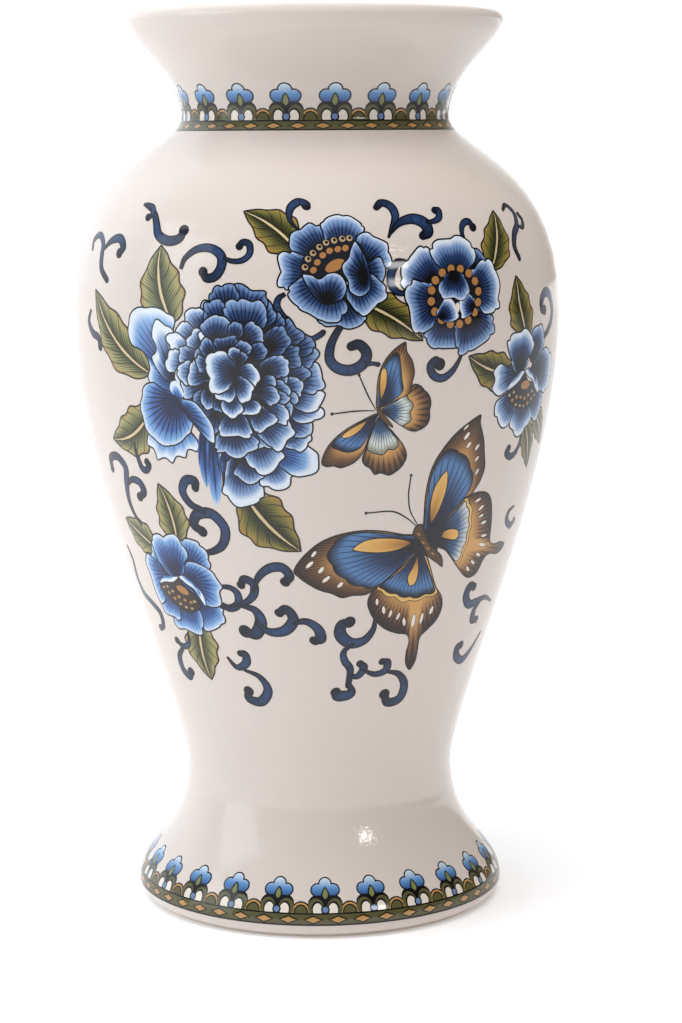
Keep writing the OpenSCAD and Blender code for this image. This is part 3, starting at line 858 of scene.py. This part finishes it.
def draw_low_flower():
    d = Drawing(-42, 136)
    d.piece = "leaves"
    d.leaf(2, 15, -1.6, 40, 16, -2, "dry_leaf")
    d.leaf(4, -17, 2.5, -42, 17, -2, "dry_leaf")
    d.leaf(-10, 12, -30, 22.6, 14, 0, "dry_leaf")
    d.piece = "scrolls"
    d.strokes(
        (2.0, 4.0, 2.2, (13.5, 13), (19, 14.4), (23.6, 17.7), (25.6, 24), (21.5, 29.4), (15, 28.8),
         (12.4, 24.6), (15.6, 22)),
        (2.6, 3.4, 1.6, (19.3, 30.1), (13, 32.6), (10.2, 37.4), (12.6, 42), (16.6, 42.2), (16.4, 39.4)),
        (1.6, 3.0, 0, (18, -0.4), (22, -0.4), (24.6, -2.6), (24, -7), (20.1, -9.2), (16.6, -8)),
        (1.2, 3.2, 1.7, (19.5, -8.4), (26.4, -6.6), (31, -3), (32.2, 1.6), (29, 3.6), (27, 1)),
        (1.2, 3.6, 1.9, (31.3, -2.1), (34.4, 4.2), (39.4, 8.3), (44.6, 9), (46.8, 5.6), (44.6, 3)),
        (1.2, 4.4, 2.7, (24, -7.6), (30, -9.2), (31.4, -14), (28, -19.4), (24, -18.6)),
        (1.2, 3.8, 1.8, (30, -12), (30.6, -15.6), (34.3, -18.3), (40.1, -17.3), (44.2, -12.6),
         (42.6, -8.4), (39.4, -10)),
        (1.2, 3.8, 1.9, (43, -14.6), (48.5, -13.4), (52.4, -16.4), (52.6, -20.6), (50, -21.6)),
        (1.0, 3.2, 1.4, (13, -30.4), (16.4, -34.6), (20.8, -32.4), (21.4, -28.8), (19.4, -28.4)),
        (1.2, 3.6, 2.1, (19, -35.4), (25, -38), (27, -43.6), (23, -48.8), (18.2, -48), (18.8, -44.6)),
        (1.2, 3.2, 1.7, (-17, 21), (-21.2, 25.5), (-23.1, 31.7), (-22, 38.4), (-20.6, 44), (-25.7, 48),
         (-32, 46.6), (-32.4, 42.4)),
        (1.2, 3.2, 1.9, (-22, 36.6), (-17.6, 39.6), (-12.6, 39), (-11, 35.4), (-14.4, 33)),
        (1.2, 2.6, 1.5, (-37, 10), (-34, 4), (-34.6, -3), (-31.6, -9.6), (-25.4, -12.8), (-20.2, -16.4),
         (-20.4, -21.8), (-23.6, -23.4)),
        (1.0, 2.4, 1.6, (-4, -22), (-5, -27), (-9.4, -29), (-12.6, -27)),
        (1.8, 3.2, 2.0, (-10, -30), (-13.8, -34), (-14, -39.4), (-10.6, -42.4), (-8.6, -40)),
    )
    d.piece = "low_flower"
    d.petals((
        (-4, 4, -13, 14.6, 13, 3, 0.0), (3, 4, 13.4, 17, 16, 4, 0.0), (4, -4, 13.6, -18.8, 16, 4, 0.0),
        (-1, -5, -4, -22.4, 20, 4, 0.0), (-5, -3, -15.5, -15.4, 16, 3, 0.0),
    ), paint="soft_petal", spacing=1.3)
    d.area([(1, 4), (5, 9), (11, 8.6), (16, 6), (17.6, 3), (19.2, -0.6), (17.4, -3), (17, -8), (13, -9.8),
            (9, -9), (6, -6), (0, -1)], "soft_petal", (2, 0), (18, 0), 0.0, spacing=1.6)
    d.area([(-12, 7), (-18, 9.6), (-21.4, 5), (-20, 0), (-19.6, -6), (-17, -12), (-12.4, -9), (-14, -3.4),
            (-9, -1), (-4, 0), (-2, 4), (-6, 7)], "soft_petal", (-4, 3), (-20, 0), 0.02, spacing=1.6)
    d.petal(-2, 1, -4.5, 19.8, 21, 4, 0.02, "soft_petal", spacing=1.6)
    d.area([(-1.4, 1.6), (-5, -0.6), (-10, -1.2), (-14, -3.4), (-12, -7), (-7, -11), (0, -13.2), (5, -11.6),
            (6.4, -9), (4.6, -4.6), (1, -2.4)], "dark_brown", ink=0.4)
    d.dot(-1, -3.8, 3.2, 1.6, paint="gold", tilt=-20)
    d.stamens((-12, -4, 0.9), (-9.6, -3.4, 0.9), (-9.4, -6, 1.1), (-7, -5, 1.0), (-6.6, -8, 1.1),
              (-4, -7, 1.2), (-4, -10, 1.0), (-1, -8, 1.1), (-1.2, -11, 1.0), (2, -8.6, 1.1),
              (1.8, -11.2, 0.9), (4, -8, 1.0))
    d.area([(-1.4, 1.8), (2, -1), (5.4, -3), (7.6, -7.4), (9.2, -9.6), (9.4, -5), (6.6, -0.6), (2.4, 2.6)],
           "soft_petal", (5, 2.6), (8, -6), 0.25, ink=0.3, spacing=1.4)
    d.area([(-1.4, 1.8), (-5, 1.6), (-10, 1.4), (-14.4, -2.6), (-10, -1.6), (-5, -1)],
           "soft_petal", (-8, 3), (-10, -1.6), 0.25, ink=0.3, spacing=1.4)
    return d


# ---------------------------------------------------------------- the spray: butterflies


def draw_small_butterfly():
    d = Drawing(14, 204)
    d.piece = "small_butterfly"
    d.stroke([(-1.4, 0.4), (-4.6, 6), (-7.8, 13)], 0.3, 0.5, paint="ink")
    d.dot(-7.9, 13.3, 0.6, paint="ink")
    d.stroke([(-1.6, 0), (-9, 0), (-17.2, -0.9)], 0.3, 0.5, paint="ink")
    d.dot(-17.4, -0.9, 0.6, paint="ink")
    # right lower wing
    root = (0.5, -1)
    d.area([(2, 1), (10.6, 7), (12.4, 9), (14.6, 9), (17.6, 7.4), (19.4, 4.4), (20.2, 1), (20, -3),
            (18.4, -6.6), (15.4, -8.6), (11.6, -8), (7, -5), (2, -1.4)], "margin", root, (20, 0), -0.03,
            spacing=2.6, ink=0.5, waves=7)
    d.area([(1, 0), (5, 3), (10, 5.2), (12.2, 3), (12.9, 0.6), (12.2, -2), (12, -4.4), (9.6, -6.4),
            (5, -3.8)], "light_wing", root, (13, 0), 0.05, spacing=1.7, ink=0.4, waves=7)
    # lower wing
    d.area([(0, -2), (2.6, -5), (6, -8.6), (10, -13.6), (11.4, -17.8), (9.8, -21.6), (7, -24), (4.6, -25),
            (1.6, -24), (-0.8, -24.4), (-2.6, -22), (-4.8, -20.6), (-5.8, -18), (-4.6, -14), (-2.8, -8)],
           "margin", root, (3, -25), -0.03, spacing=2.6, ink=0.5)
    d.area([(0, -2), (3, -6), (8, -12), (6.4, -14.6), (4.2, -15.4), (2, -16.8), (-0.4, -16.2),
            (-2.6, -16.2), (-4.2, -14), (-2.6, -8)], "light_wing", root, (1.5, -17), 0.08, spacing=1.5,
            ink=0.4, waves=7)
    # left wing
    d.area([(-1, -1), (-7, -3.6), (-13, -7.2), (-17.4, -11.4), (-19.8, -15.6), (-20.6, -19.4),
            (-18.8, -21), (-16, -20.8), (-13.4, -21.5), (-10, -20.4), (-7.4, -18.6), (-5.2, -15.4),
            (-3.4, -10), (-1.4, -4)], "margin", root, (-13, -21), -0.05, spacing=0.9, ink=0.4)
    d.area([(-1, -1.4), (-8, -4.6), (-13, -8), (-17.4, -12.6), (-14.6, -14.6), (-11, -15.6), (-7.4, -14.6),
            (-5, -12), (-3, -8), (-1.4, -4)], "wing", root, (-12, -15), 0.05, spacing=1.9, ink=0.3)
    d.area([(-4.4, -3.6), (-9, -5.6), (-13, -8.4), (-13.2, -10), (-10.6, -9.8), (-7, -7.4)], "cell",
            (0, -1), (-13, -9.6), ink=0.3)
    # upper wing
    d.area([(-0.6, 0), (-1.4, 6), (-1, 12), (0.6, 17), (3.4, 21), (7.4, 24.2), (9.6, 24.8), (10, 21.6),
            (12.2, 18), (13.2, 13.6), (12.4, 10), (11.6, 6), (6, 3.4)], "margin", root, (12, 16), -0.08,
            spacing=0.95, ink=0.4)
    d.area([(-0.4, 1), (-0.8, 8), (0, 13), (2, 18), (5, 21), (7, 20.6), (7.8, 16), (8.4, 11), (8.8, 7),
            (5, 3.4)], "wing", root, (8, 16), 0.05, spacing=1.9, ink=0.3)
    d.area([(0, 4.6), (-0.4, 9), (0, 14.4), (1.4, 15.8), (2.6, 14), (2.4, 9), (1, 4.6)], "cell", (0, 0),
            (1.4, 16), ink=0.35)
    d.area([(-1.2, 1), (0, 1.2), (2, -1.6), (5.2, -5.6), (5, -6.6), (2, -4.6), (-0.4, -2)], "brown",
            ink=0.3)
    return d


def draw_large_butterfly():
    d = Drawing(30, 151)
    d.piece = "scrolls"
    d.strokes(
        (0.9, 4.2, 2.4, (-17, -28), (-16.8, -33), (-19.6, -37.6), (-24.6, -38.6), (-29, -35),
         (-29.4, -30.6), (-26.6, -29.6)),
        (1.6, 2.6, 0, (-23.2, -38.6), (-26.6, -42), (-25.8, -46), (-23, -50), (-22.6, -57)),
        (1.2, 3.0, 1.5, (-23.2, -52.8), (-19.6, -53), (-17.8, -49.6), (-19.6, -47.6)),
        (1.0, 3.0, 1.5, (-18.6, -50), (-13.2, -52.6), (-8.8, -51.4), (-8.6, -48), (-10.8, -47.4)),
        (1.2, 3.6, 2.2, (-8.6, -51.8), (-2.8, -53.6), (0.6, -58.6), (-0.4, -64.4), (-5.4, -65.6),
         (-7.4, -61.8)),
        (1.4, 4.2, 2.0, (-22.4, -56), (-21, -60.4), (-25.4, -61.4), (-27, -59.6)),
        (1.0, 3.6, 1.8, (48, -30), (40, -27), (33, -27.6), (28, -28), (25, -24), (26.4, -19.8),
         (29, -20.6)),
        (1.0, 2.6, 1.5, (50, 10.4), (45.4, 8.6), (45.2, 4.8), (50, 2.2), (53, 3.8)),
        (1.0, 3.2, 1.7, (37, -27.6), (33, -31), (33, -35.4), (36.4, -36)),
        (1.0, 3.6, 1.9, (45, -43), (38, -49.6), (32, -53), (27, -50.6), (26.2, -46.6), (28.4, -45.8)),
    )
    d.piece = "large_butterfly"
    d.stroke([(-5.6, 9), (-9.6, 15), (-11.2, 22), (-11.1, 28.6)], 0.35, 0.5, paint="ink")
    d.dot(-11.1, 29, 0.6, paint="ink")
    d.stroke([(-6, 8.6), (-11, 12.4), (-17, 15.2), (-26.6, 15)], 0.35, 0.5, paint="ink")
    d.dot(-26.8, 15, 0.6, paint="ink")
    # right upper wing
    root = (0, 3)
    d.area([(-2, 4), (-3.6, 12), (-4.2, 22), (-3, 31), (0.6, 38), (6, 44), (12, 48), (17.6, 50.4),
            (18, 47), (20.6, 41), (22, 35), (23.2, 29.4), (21.6, 24), (18, 19.4), (14, 16), (6, 8)],
            "margin", root, (20, 40), -0.03, spacing=1.1, ink=0.45)
    d.area([(-1.6, 5), (-3.2, 12), (-3.4, 22), (-2, 31), (1.4, 37), (5.6, 38), (10, 36.4), (14.6, 32),
            (17, 27), (16.8, 21.4), (13, 16.6), (5, 8)], "wing", root, (11, 35), 0.02, spacing=3.2,
            ink=0.45, waves=12)
    d.area([(-0.6, 10), (-1.6, 17), (-0.6, 24), (3.2, 29.6), (4.8, 28.6), (5, 22), (3.2, 15), (0.8, 10)],
            "cell", (-1, 7), (4.4, 30), ink=0.4)
    d.wing_spots((10.8, 46, 1.7, 0.7, 40), (11.6, 42.6, 2.0, 1.0, 50), (13, 39, 1.7, 0.9, 50),
                 (17.4, 37.8, 1.7, 0.9, 50), (18, 33.2, 1.5, 0.8, 50), (19, 28, 1.6, 0.8, 60))
    # right lower wing with its tail
    root = (2, 3)
    d.area([(5, 8), (11, 15), (15, 18.6), (21, 19.8), (26.6, 19), (30, 15.6), (32, 10), (33.4, 3),
            (34.2, -1.8), (37.6, -3.6), (43, -3.4), (47.6, -5), (45.6, -7.6), (41, -8.6), (35.4, -7.6),
            (32, -9.4), (29.6, -14), (26, -16), (21.6, -15.2), (16, -10.2), (9, -3), (4, 0)], "margin",
            root, (34, 0), 0.0, spacing=2.2, ink=0.45)
    d.area([(5, 7.6), (11, 14), (15, 17.8), (17.6, 16), (19.4, 12), (20.2, 7), (20, 1), (18.6, -4.6),
            (16, -9.4), (9, -2.6), (4, 0.6)], "cell", root, (20, 6), ink=0.3, waves=9)
    d.area([(5, 7.4), (11, 13.6), (14.8, 16.8), (16.8, 14.4), (18.2, 11), (19, 6.6), (18.8, 1),
            (17.6, -4), (15.4, -8.4), (9, -2.4), (4, 0.8)], "light_wing", root, (19, 6), -0.15,
            spacing=2.2, ink=0.45, waves=9)
    d.area([(4.6, 4.6), (9, 6.2), (13, 5.6), (14.4, 3.4), (13, 1.2), (9, 1.8), (4.6, 3.4)], "cell",
            (3, 4), (14.4, 3.4), ink=0.4)
    d.wing_spots((21.8, 16.3, 1.9, 0.8, 20), (24.4, 13, 1.9, 0.9, 30), (25.2, 9.6, 1.7, 0.8, 15),
                 (27.4, 6.6, 1.9, 0.9, 10), (29, 1, 2.1, 0.8, 0), (29, -2.8, 2.6, 1.0, -15),
                 (27.6, -6.8, 1.9, 0.9, -25), (25, -9.6, 1.8, 0.8, -35), (22.6, -12, 1.7, 0.9, -45))
    # lower wing with its tail
    root = (-4, 0)
    d.area([(-3, -1), (-10, -8), (-18, -14.6), (-20.4, -18), (-21, -22), (-19, -26.6), (-16, -30.4),
            (-12, -33.6), (-7, -35.8), (-2.6, -36.8), (-1, -40), (-1.4, -45), (-0.6, -49.6), (1.8, -52.4),
            (3.8, -49), (4, -44), (4, -38.6), (7, -35.6), (10.6, -32), (12.2, -27), (11, -22), (7, -17),
            (3.6, -10), (0.6, -4)], "margin", root, (-4, -36), 0.02, spacing=2.2, ink=0.45)
    d.area([(-3, -2), (-10, -9), (-18, -15.2), (-15, -18.6), (-10, -20.8), (-6, -22.6), (-1, -22.4),
            (4, -21.6), (8.4, -20), (6, -16), (2, -9)], "cell", root, (-4, -23), ink=0.3, waves=10)
    d.area([(-3, -2), (-10, -9), (-17.4, -15), (-13, -18), (-8, -20), (-3, -21.2), (2, -20.8), (7, -19.4),
            (5, -15), (1.6, -8)], "wing", root, (-4, -22), 0.05, spacing=2.0, ink=0.45, waves=10)
    d.area([(-3.8, -3.6), (-5, -8), (-6.6, -12), (-5.6, -15.4), (-4, -16), (-2.4, -14.6), (-2, -10),
            (-3, -5)], "cell", (-3.6, -2), (-4, -16), ink=0.4)
    d.wing_spots((-17.2, -21.6, 1.7, 0.8, 100), (-14, -25.2, 1.9, 0.9, 105), (-11, -27, 1.8, 0.8, 80),
                 (-7.6, -28.4, 1.8, 0.8, 75), (-4.6, -31, 2.1, 0.9, 105), (-0.6, -31, 3.2, 1.1, 90),
                 (3, -30.4, 2.6, 0.9, 85), (7, -27.4, 2.0, 1.0, 80))
    # left wing
    root = (-3, 2)
    d.area([(-4, 4.4), (-11, 5.8), (-19, 7.6), (-27.6, 8.2), (-36, 6.8), (-43, 3.4), (-48.4, -2.6),
            (-50.6, -8), (-48, -11), (-44.6, -13.4), (-40, -16), (-35, -17.6), (-31, -19.4), (-27, -18.6),
            (-22, -18.4), (-18, -15.4), (-12, -10), (-5, -3)], "margin", root, (-48, -6), -0.02,
            spacing=1.2, ink=0.45)
    d.area([(-4, 3.8), (-12, 5.6), (-20, 7), (-28, 7.6), (-34, 6.2), (-37.6, 3), (-39, -1), (-37, -6),
            (-33, -10.4), (-28, -13.8), (-22, -15.6), (-18, -15), (-12, -9.6), (-5, -2)], "wing", root,
            (-38, -1), 0.02, spacing=2.8, ink=0.45, waves=14)
    d.area([(-7, 2), (-12, 4), (-20, 4.9), (-26, 4), (-30, 0.8), (-27, -0.6), (-19, -1.4), (-12, -0.6)],
            "cell", (-4, 1.6), (-30, 0.8), ink=0.4)
    d.wing_spots((-44, -1, 1.6, 0.9, 60), (-45, -5.4, 2.0, 1.0, 50), (-40.4, -7.6, 1.7, 1.0, 60),
                 (-38, -11.4, 2.0, 1.0, 45), (-32.4, -13.8, 1.6, 1.0, 50))
    # body
    d.area([(-6, 5), (-2, 7), (3, 7.4), (6, 8.6), (6.4, 5), (5, 1), (4.6, -3), (0.4, -4), (-3, -3.6),
            (-5.4, -2.4)], "heart", ink=0.3)
    d.area([(-6.6, 8.4), (-4, 9.4), (-2.6, 7), (0.4, 1.6), (4, -1.6), (7.6, -5), (8.6, -9.4), (5.4, -7.4),
            (0.6, -4), (-3.6, 2), (-7, 5)], "brown", ink=0.45)
    for x, y in ((-4.6, 5.2), (-2.2, 1.6), (0.4, -1), (3, -3.4)):
        d.dot(x, y, 1.1, 0.35, "gold", -35)
    return d


# ---------------------------------------------------------------- borders


def draw_border(height, fans, strip_low, strip_top, lozenge):
    """One fan of a border with half an arch on each side; the copies meet half-way between fans."""
    d = Drawing(0, height)
    d.radius = float(np.interp(d.arc, SKIN.step, SKIN.r))
    half = math.pi * d.radius / fans
    d.half_pitch = half
    over = half + 2
    d.piece = "border"
    y0, y1 = strip_low, strip_top
    middle = (y0 + y1) / 2
    y = y1
    for side in (-1, 1):
        # the arch shared with the next fan
        for rx, ry, paint in ((4.1, 4.6, "ink"), (3.55, 4.05, "ochre"), (2.85, 3.35, "ink"),
                              (2.35, 2.85, "olive")):
            d.shape(d.round(side * half, y + 0.2, rx, ry, count=30), paint, ink=0)
    d.shape(d.round(0, y + 4.0, 6.7, 4.2, count=40), "ink", ink=0)
    for side in (-1, 1):
        for x, up, rx, ry, paint in ((3.7, 2.4, 3.0, 3.5, "olive"), (3.15, 2.0, 2.15, 2.75, "ink"),
                                     (3.0, 1.5, 1.8, 2.5, "cream")):
            d.shape(d.round(side * x, y + up, rx, ry, count=28), paint, ink=0)
    d.dot(0, y + 1.5, 1.7, paint="ink")
    d.dot(0, y + 1.5, 1.15, paint="bead_blue")
    # strip with its lozenges
    along = np.linspace(-over, over, 19)
    for low, high, paint in ((y0, y1 + 0.25, "ink"), (y0 + 0.65, y1 - 0.3, "olive")):
        d.shape([(x, low) for x in along] + [(x, high) for x in along[::-1]], paint, ink=0)
    for x in (-half * 0.5, half * 0.5):
        for share, tall, paint in ((1.0, 1.75, "ink"), (0.72, 1.15, "ochre")):
            wide = lozenge * share
            d.shape([(x - wide, middle), (x, middle - tall), (x + wide, middle), (x, middle + tall)],
                    paint, ink=0)
    # fan: three lobes, deep blue below and pale above
    lobes = ((-3.25, 9.3, 2.8), (3.25, 9.3, 2.8), (0.0, 11.7, 2.9))
    for less, paint in ((0.0, "ink"), (0.55, "fan_blue")):
        at = rising(y + 6.0, y + 14.2) if less else plain
        for x, up, size in lobes:
            d.shape(d.round(x, y + up, size - less, count=30), paint, at, ink=0)
        d.shape([(-4.9 + less, y + 6.5 + less), (4.9 - less, y + 6.5 + less), (3, y + 10), (0, y + 11),
                 (-3, y + 10)], paint, at, ink=0)
    for wide, low, high, paint in ((1.7, 4.9, 10.6, "ink"), (1.05, 5.7, 9.9, "green")):
        d.area([(0, y + high), (wide, y + 7.3), (0, y + low), (-wide, y + 7.3)], paint, ink=0, steps=4)
    return d


# ---------------------------------------------------------------- pieces


SPRAY_GRID = 1.7        # mm between the inner points that let a flat drawing bend with the glaze
BORDER_GRID = 1.2
# (name, height of its anchor, fans, turn in degrees, strip's low and high edge, lozenge's half width)
BORDERS = (("neck", 308, 18, 8, -4.4, 0.0, 3.7), ("foot", 10.8, 24, 1.5, -5.3, -0.7, 3.9))


def printed_pieces():
    """The sprays on the front and, turned half round, on the back, and the two borders."""
    slots = {"leaves": "leaf_print", "scrolls": "scroll_print", "small_butterfly": "butterfly_print",
             "large_butterfly": "butterfly_print"}
    pieces = {}
    for draw in (draw_peony, draw_upper_flowers, draw_bell_flower, draw_low_flower, draw_small_butterfly,
                 draw_large_butterfly):
        drawing = draw()
        flat, triangles, tops = cut_up(drawing.shapes, SPRAY_GRID)
        for name in sorted({s[0] for s in drawing.shapes}):
            kept = [i for i, top in enumerate(tops) if drawing.shapes[top][0] == name]
            piece = pieces.setdefault(name, Piece())
            piece.add(drawing, flat, [triangles[i] for i in kept], [tops[i] for i in kept])
    for name, piece in pieces.items():
        for side, spin in (("front", 0.0), ("back", math.pi)):
            made = piece.build(f"{side}_{name}_print", slots.get(name, "flower_print"), spin)
            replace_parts(made, f"{side}_{name}")
    for name, height, fans, turn, low, top, lozenge in BORDERS:
        drawing = draw_border(height, fans, low, top, lozenge)
        half = drawing.half_pitch
        flat, triangles, tops = cut_up(drawing.shapes, BORDER_GRID, half)
        piece = Piece()
        turns = [math.radians(turn) + 2 * math.pi * k / fans for k in range(fans)]
        piece.add(drawing, flat, triangles, tops, turns, drawing.radius)
        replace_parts(piece.build(f"{name}_border_print", "border_print"), f"{name}_border")


# ---------------------------------------------------------------- glaze coats


def revolved(name, line, paint, stands_for, segments):
    """A surface of revolution through (radius, height) points in mm; a first radius of 0 is its middle."""
    turns = np.linspace(0, 2 * math.pi, segments, endpoint=False)
    closed = line[0][0] == 0
    r, z = np.array(line[1:] if closed else line, float).T * MM
    rings = np.repeat(z[:, None], segments, 1)
    points = np.stack([np.outer(r, np.sin(turns)), -np.outer(r, np.cos(turns)), rings], -1)
    points = points.reshape(-1, 3).tolist()
    faces = []
    for i in range(len(r) - 1):
        for j in range(segments):
            k = (j + 1) % segments
            low, high = i * segments, (i + 1) * segments
            faces.append((low + j, low + k, high + k, high + j))
    if closed:
        points.append((0.0, 0.0, line[0][1] * MM))
        faces.extend((len(points) - 1, (j + 1) % segments, j) for j in range(segments))
    mesh = bpy.data.meshes.new(name)
    mesh.from_pydata(points, [], faces)
    mesh.polygons.foreach_set("use_smooth", [True] * len(faces))
    mesh.materials.append(paint.material)
    piece = bpy.data.objects.new(name, mesh)
    bpy.context.collection.objects.link(piece)
    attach(piece, "root")
    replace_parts(piece, stands_for)
    return piece


GLAZE_ROUGHNESS = 0.07
CRAZING_SCALE = 380         # cells per metre, about 2.6 mm each
CRAZING_LINE = 0.10         # half the breadth of a crack, as a share of a cell
CRAZING_DEPTH = 0.0001      # metres


def glaze_paint(name, colour, crackle):
    """Clear glossy glaze with fine crazing; crackle is the strength of the cracks."""
    paint = Paint(name, colour, GLAZE_ROUGHNESS)
    paint.shader.inputs["Specular IOR Level"].default_value = 0.6
    place = paint.nodes.new("ShaderNodeTexCoord")
    cells = paint.nodes.new("ShaderNodeTexVoronoi")
    cells.feature = "DISTANCE_TO_EDGE"
    cells.inputs["Scale"].default_value = CRAZING_SCALE
    paint.links.new(place.outputs["Object"], cells.inputs["Vector"])
    line = paint.maths("DIVIDE", cells.outputs["Distance"], CRAZING_LINE, clamp=True)
    bump = paint.nodes.new("ShaderNodeBump")
    bump.inputs["Strength"].default_value = crackle
    bump.inputs["Distance"].default_value = CRAZING_DEPTH
    paint.links.new(line, bump.inputs["Height"])
    paint.links.new(bump.outputs["Normal"], paint.shader.inputs["Normal"])
    return paint


def glaze_coats():
    """The coats outside and inside; the one inside also covers the floor."""
    glaze = glaze_paint("cream_glaze", tint(214, 202, 194), 0.16)
    outside = catmull(OUTSIDE, False, 3)
    inside_line = catmull(INSIDE, False, 3)
    closed_line = np.vstack([[(0.0, inside_line[0][1])], inside_line])
    revolved("outer_glaze_coat", outside, glaze, "outer_glaze", 192)
    lining = revolved("inner_glaze_coat", closed_line, glaze, "inner_glaze", 160)
    lining.data.flip_normals()


glaze_coats()
printed_pieces()

CLAY = Paint("bare_clay", tint(222, 212, 198), 0.75)
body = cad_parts["clay_body"]
body.data.materials.clear()
body.data.materials.append(CLAY.material)
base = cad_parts["base_glaze"]
base.data.materials.clear()
base.data.materials.append(glaze_paint("base_glaze", tint(218, 206, 198), 0.15).material)


# ---------------------------------------------------------------- stage, light, camera


def area_light(name, place, aim, size, power, colour=(1, 1, 1)):
    data = bpy.data.lights.new(name, "AREA")
    data.shape = "RECTANGLE"
    data.size, data.size_y = size
    data.energy = power
    data.color = colour
    light = bpy.data.objects.new(name, data)
    light.location = place
    light.rotation_euler = (Vector(aim) - Vector(place)).to_track_quat("-Z", "Y").to_euler()
    bpy.context.collection.objects.link(light)
    return light


ROOM_STRENGTH = 1.55
ROOM_ACROSS = (             # (left -1 to right 1, colour): white, then warm and dim
    (-1.0, (0.86, 0.94, 1.0)),
    (-0.5, (0.82, 0.88, 0.94)),
    (-0.2, (0.72, 0.72, 0.72)),
    (0.2, (0.71, 0.71, 0.71)),
    (0.45, (0.25, 0.23, 0.20)),
    (1.0, (0.17, 0.14, 0.11)),
)
ROOM_DEEP = (               # (front -1 to back 1, colour)
    (-1.0, (0.20, 0.20, 0.20)),
    (0.0, (0.36, 0.36, 0.36)),
    (0.5, (1.0, 1.0, 1.0)),
)
FLOOR_REACH = 12            # metres from the vase to each side
# painted floor light: the floor glows by itself, from nothing in front of the vase to strong behind it
GLOW_SLANT = 0.8            # how much the floor's light also fades to the right
GLOW_START = 1.0            # metres in front of the vase where the change begins
GLOW_LENGTH = 4.0           # metres from there to its full strength
# (share of that length, strength)
PAINTED_FLOOR_GLOW = ((0.0, 0.0), (0.05, 0.0), (0.19, 0.15), (0.4, 0.36), (1.0, 0.80))


def room_light(tree):
    """A white room, dimmer in front and warm and dim on the right."""
    place = tree.nodes.new("ShaderNodeTexCoord")
    split = tree.nodes.new("ShaderNodeSeparateXYZ")
    tree.links.new(place.outputs["Generated"], split.inputs[0])
    parts = []
    for axis, stops in ((0, ROOM_ACROSS), (1, ROOM_DEEP)):
        ramp = tree.nodes.new("ShaderNodeValToRGB")
        set_ramp(ramp, [((position + 1) / 2, (*colour, 1.0)) for position, colour in stops])
        shift = tree.nodes.new("ShaderNodeMath")
        shift.operation = "MULTIPLY_ADD"
        shift.inputs[1].default_value = 0.5
        shift.inputs[2].default_value = 0.5
        tree.links.new(split.outputs[axis], shift.inputs[0])
        tree.links.new(shift.outputs[0], ramp.inputs[0])
        parts.append(ramp.outputs[0])
    both = tree.nodes.new("ShaderNodeMix")
    both.data_type = "RGBA"
    both.blend_type = "MULTIPLY"
    both.inputs[0].default_value = 1.0
    tree.links.new(parts[0], both.inputs[6])
    tree.links.new(parts[1], both.inputs[7])
    tree.links.new(both.outputs[2], tree.nodes["Background"].inputs["Color"])
    tree.nodes["Background"].inputs["Strength"].default_value = ROOM_STRENGTH


def painted_floor_glow(paint):
    """Painted floor light: the floor's own glow, strong behind the vase as on a lit backdrop, fading out in
    front and to the right.
    """
    place = paint.nodes.new("ShaderNodeTexCoord")
    split = paint.nodes.new("ShaderNodeSeparateXYZ")
    paint.links.new(place.outputs["Object"], split.inputs[0])
    back = paint.maths("SUBTRACT", split.outputs[1], paint.maths("MULTIPLY", split.outputs[0], GLOW_SLANT))
    share = paint.maths("DIVIDE", paint.maths("ADD", back, GLOW_START), GLOW_LENGTH, clamp=True)
    glow = paint.ramp(share, *((position, (value, value, value, 1.0)) for position, value in PAINTED_FLOOR_GLOW))
    paint.links.new(glow, paint.shader.inputs["Emission Strength"])


def stage():
    """The floor with its painted glow, the room's light and three lamps."""
    mesh = bpy.data.meshes.new("floor")
    corners = [(x * FLOOR_REACH, y * FLOOR_REACH, 0) for x, y in ((-1, -1), (1, -1), (1, 1), (-1, 1))]
    mesh.from_pydata(corners, [], [(0, 1, 2, 3)])
    floor = bpy.data.objects.new("floor", mesh)
    bpy.context.collection.objects.link(floor)
    white = Paint("floor_white", tint(246, 246, 247), 0.6)
    # painted floor light: the floor glows white, strongest behind the vase and dimmer in front and to the
    # right
    white.shader.inputs["Emission Color"].default_value = (1.0, 1.0, 1.0, 1.0)
    painted_floor_glow(white)
    white.shader.inputs["Specular IOR Level"].default_value = 0.0
    mesh.materials.append(white.material)
    world = bpy.data.worlds.new("studio")
    world.use_nodes = True
    room_light(world.node_tree)
    bpy.context.scene.world = world
    area_light("softbox_left", (-1.4, -0.5, 0.6), (0, 0, 0.2), (0.9, 1.3), 6, (0.90, 0.96, 1.0))
    above = area_light("softbox_above", (0, -0.3, 1.3), (0, 0, 0.2), (1.7, 0.9), 14)
    above.visible_glossy = False
    area_light("window_right", (1.16, -1.46, 0.95), (0, 0, 0.25), (0.34, 0.34), 4, (1.0, 0.97, 0.93))
    bpy.context.scene.view_settings.view_transform = "Standard"


CAMERA_DISTANCE = 1.015     # metres in front of the vase's axis
CAMERA_HEIGHT = 0.3044
CAMERA_TILT = 8.44          # degrees below level
CAMERA_TURN = 0.52          # degrees to the right
CAMERA_ROLL = -0.30
LENS = 90.45                # for a 36 mm tall picture


def camera():
    """The camera, from the values above."""
    tilt, turn, roll = (math.radians(v) for v in (CAMERA_TILT, CAMERA_TURN, CAMERA_ROLL))
    ahead = Vector((math.sin(turn) * math.cos(tilt), math.cos(turn) * math.cos(tilt), -math.sin(tilt)))
    level = Vector((math.cos(turn), -math.sin(turn), 0))
    upright = level.cross(ahead)
    right = math.cos(roll) * level + math.sin(roll) * upright
    up = math.cos(roll) * upright - math.sin(roll) * level
    data = bpy.data.cameras.new("camera")
    data.sensor_width = 36
    data.lens = LENS
    view = bpy.data.objects.new("camera", data)
    turned = Matrix((right, up, -ahead)).transposed().to_4x4()
    view.matrix_world = Matrix.Translation((0, -CAMERA_DISTANCE, CAMERA_HEIGHT)) @ turned
    bpy.context.collection.objects.link(view)
    bpy.context.scene.camera = view


stage()
camera()
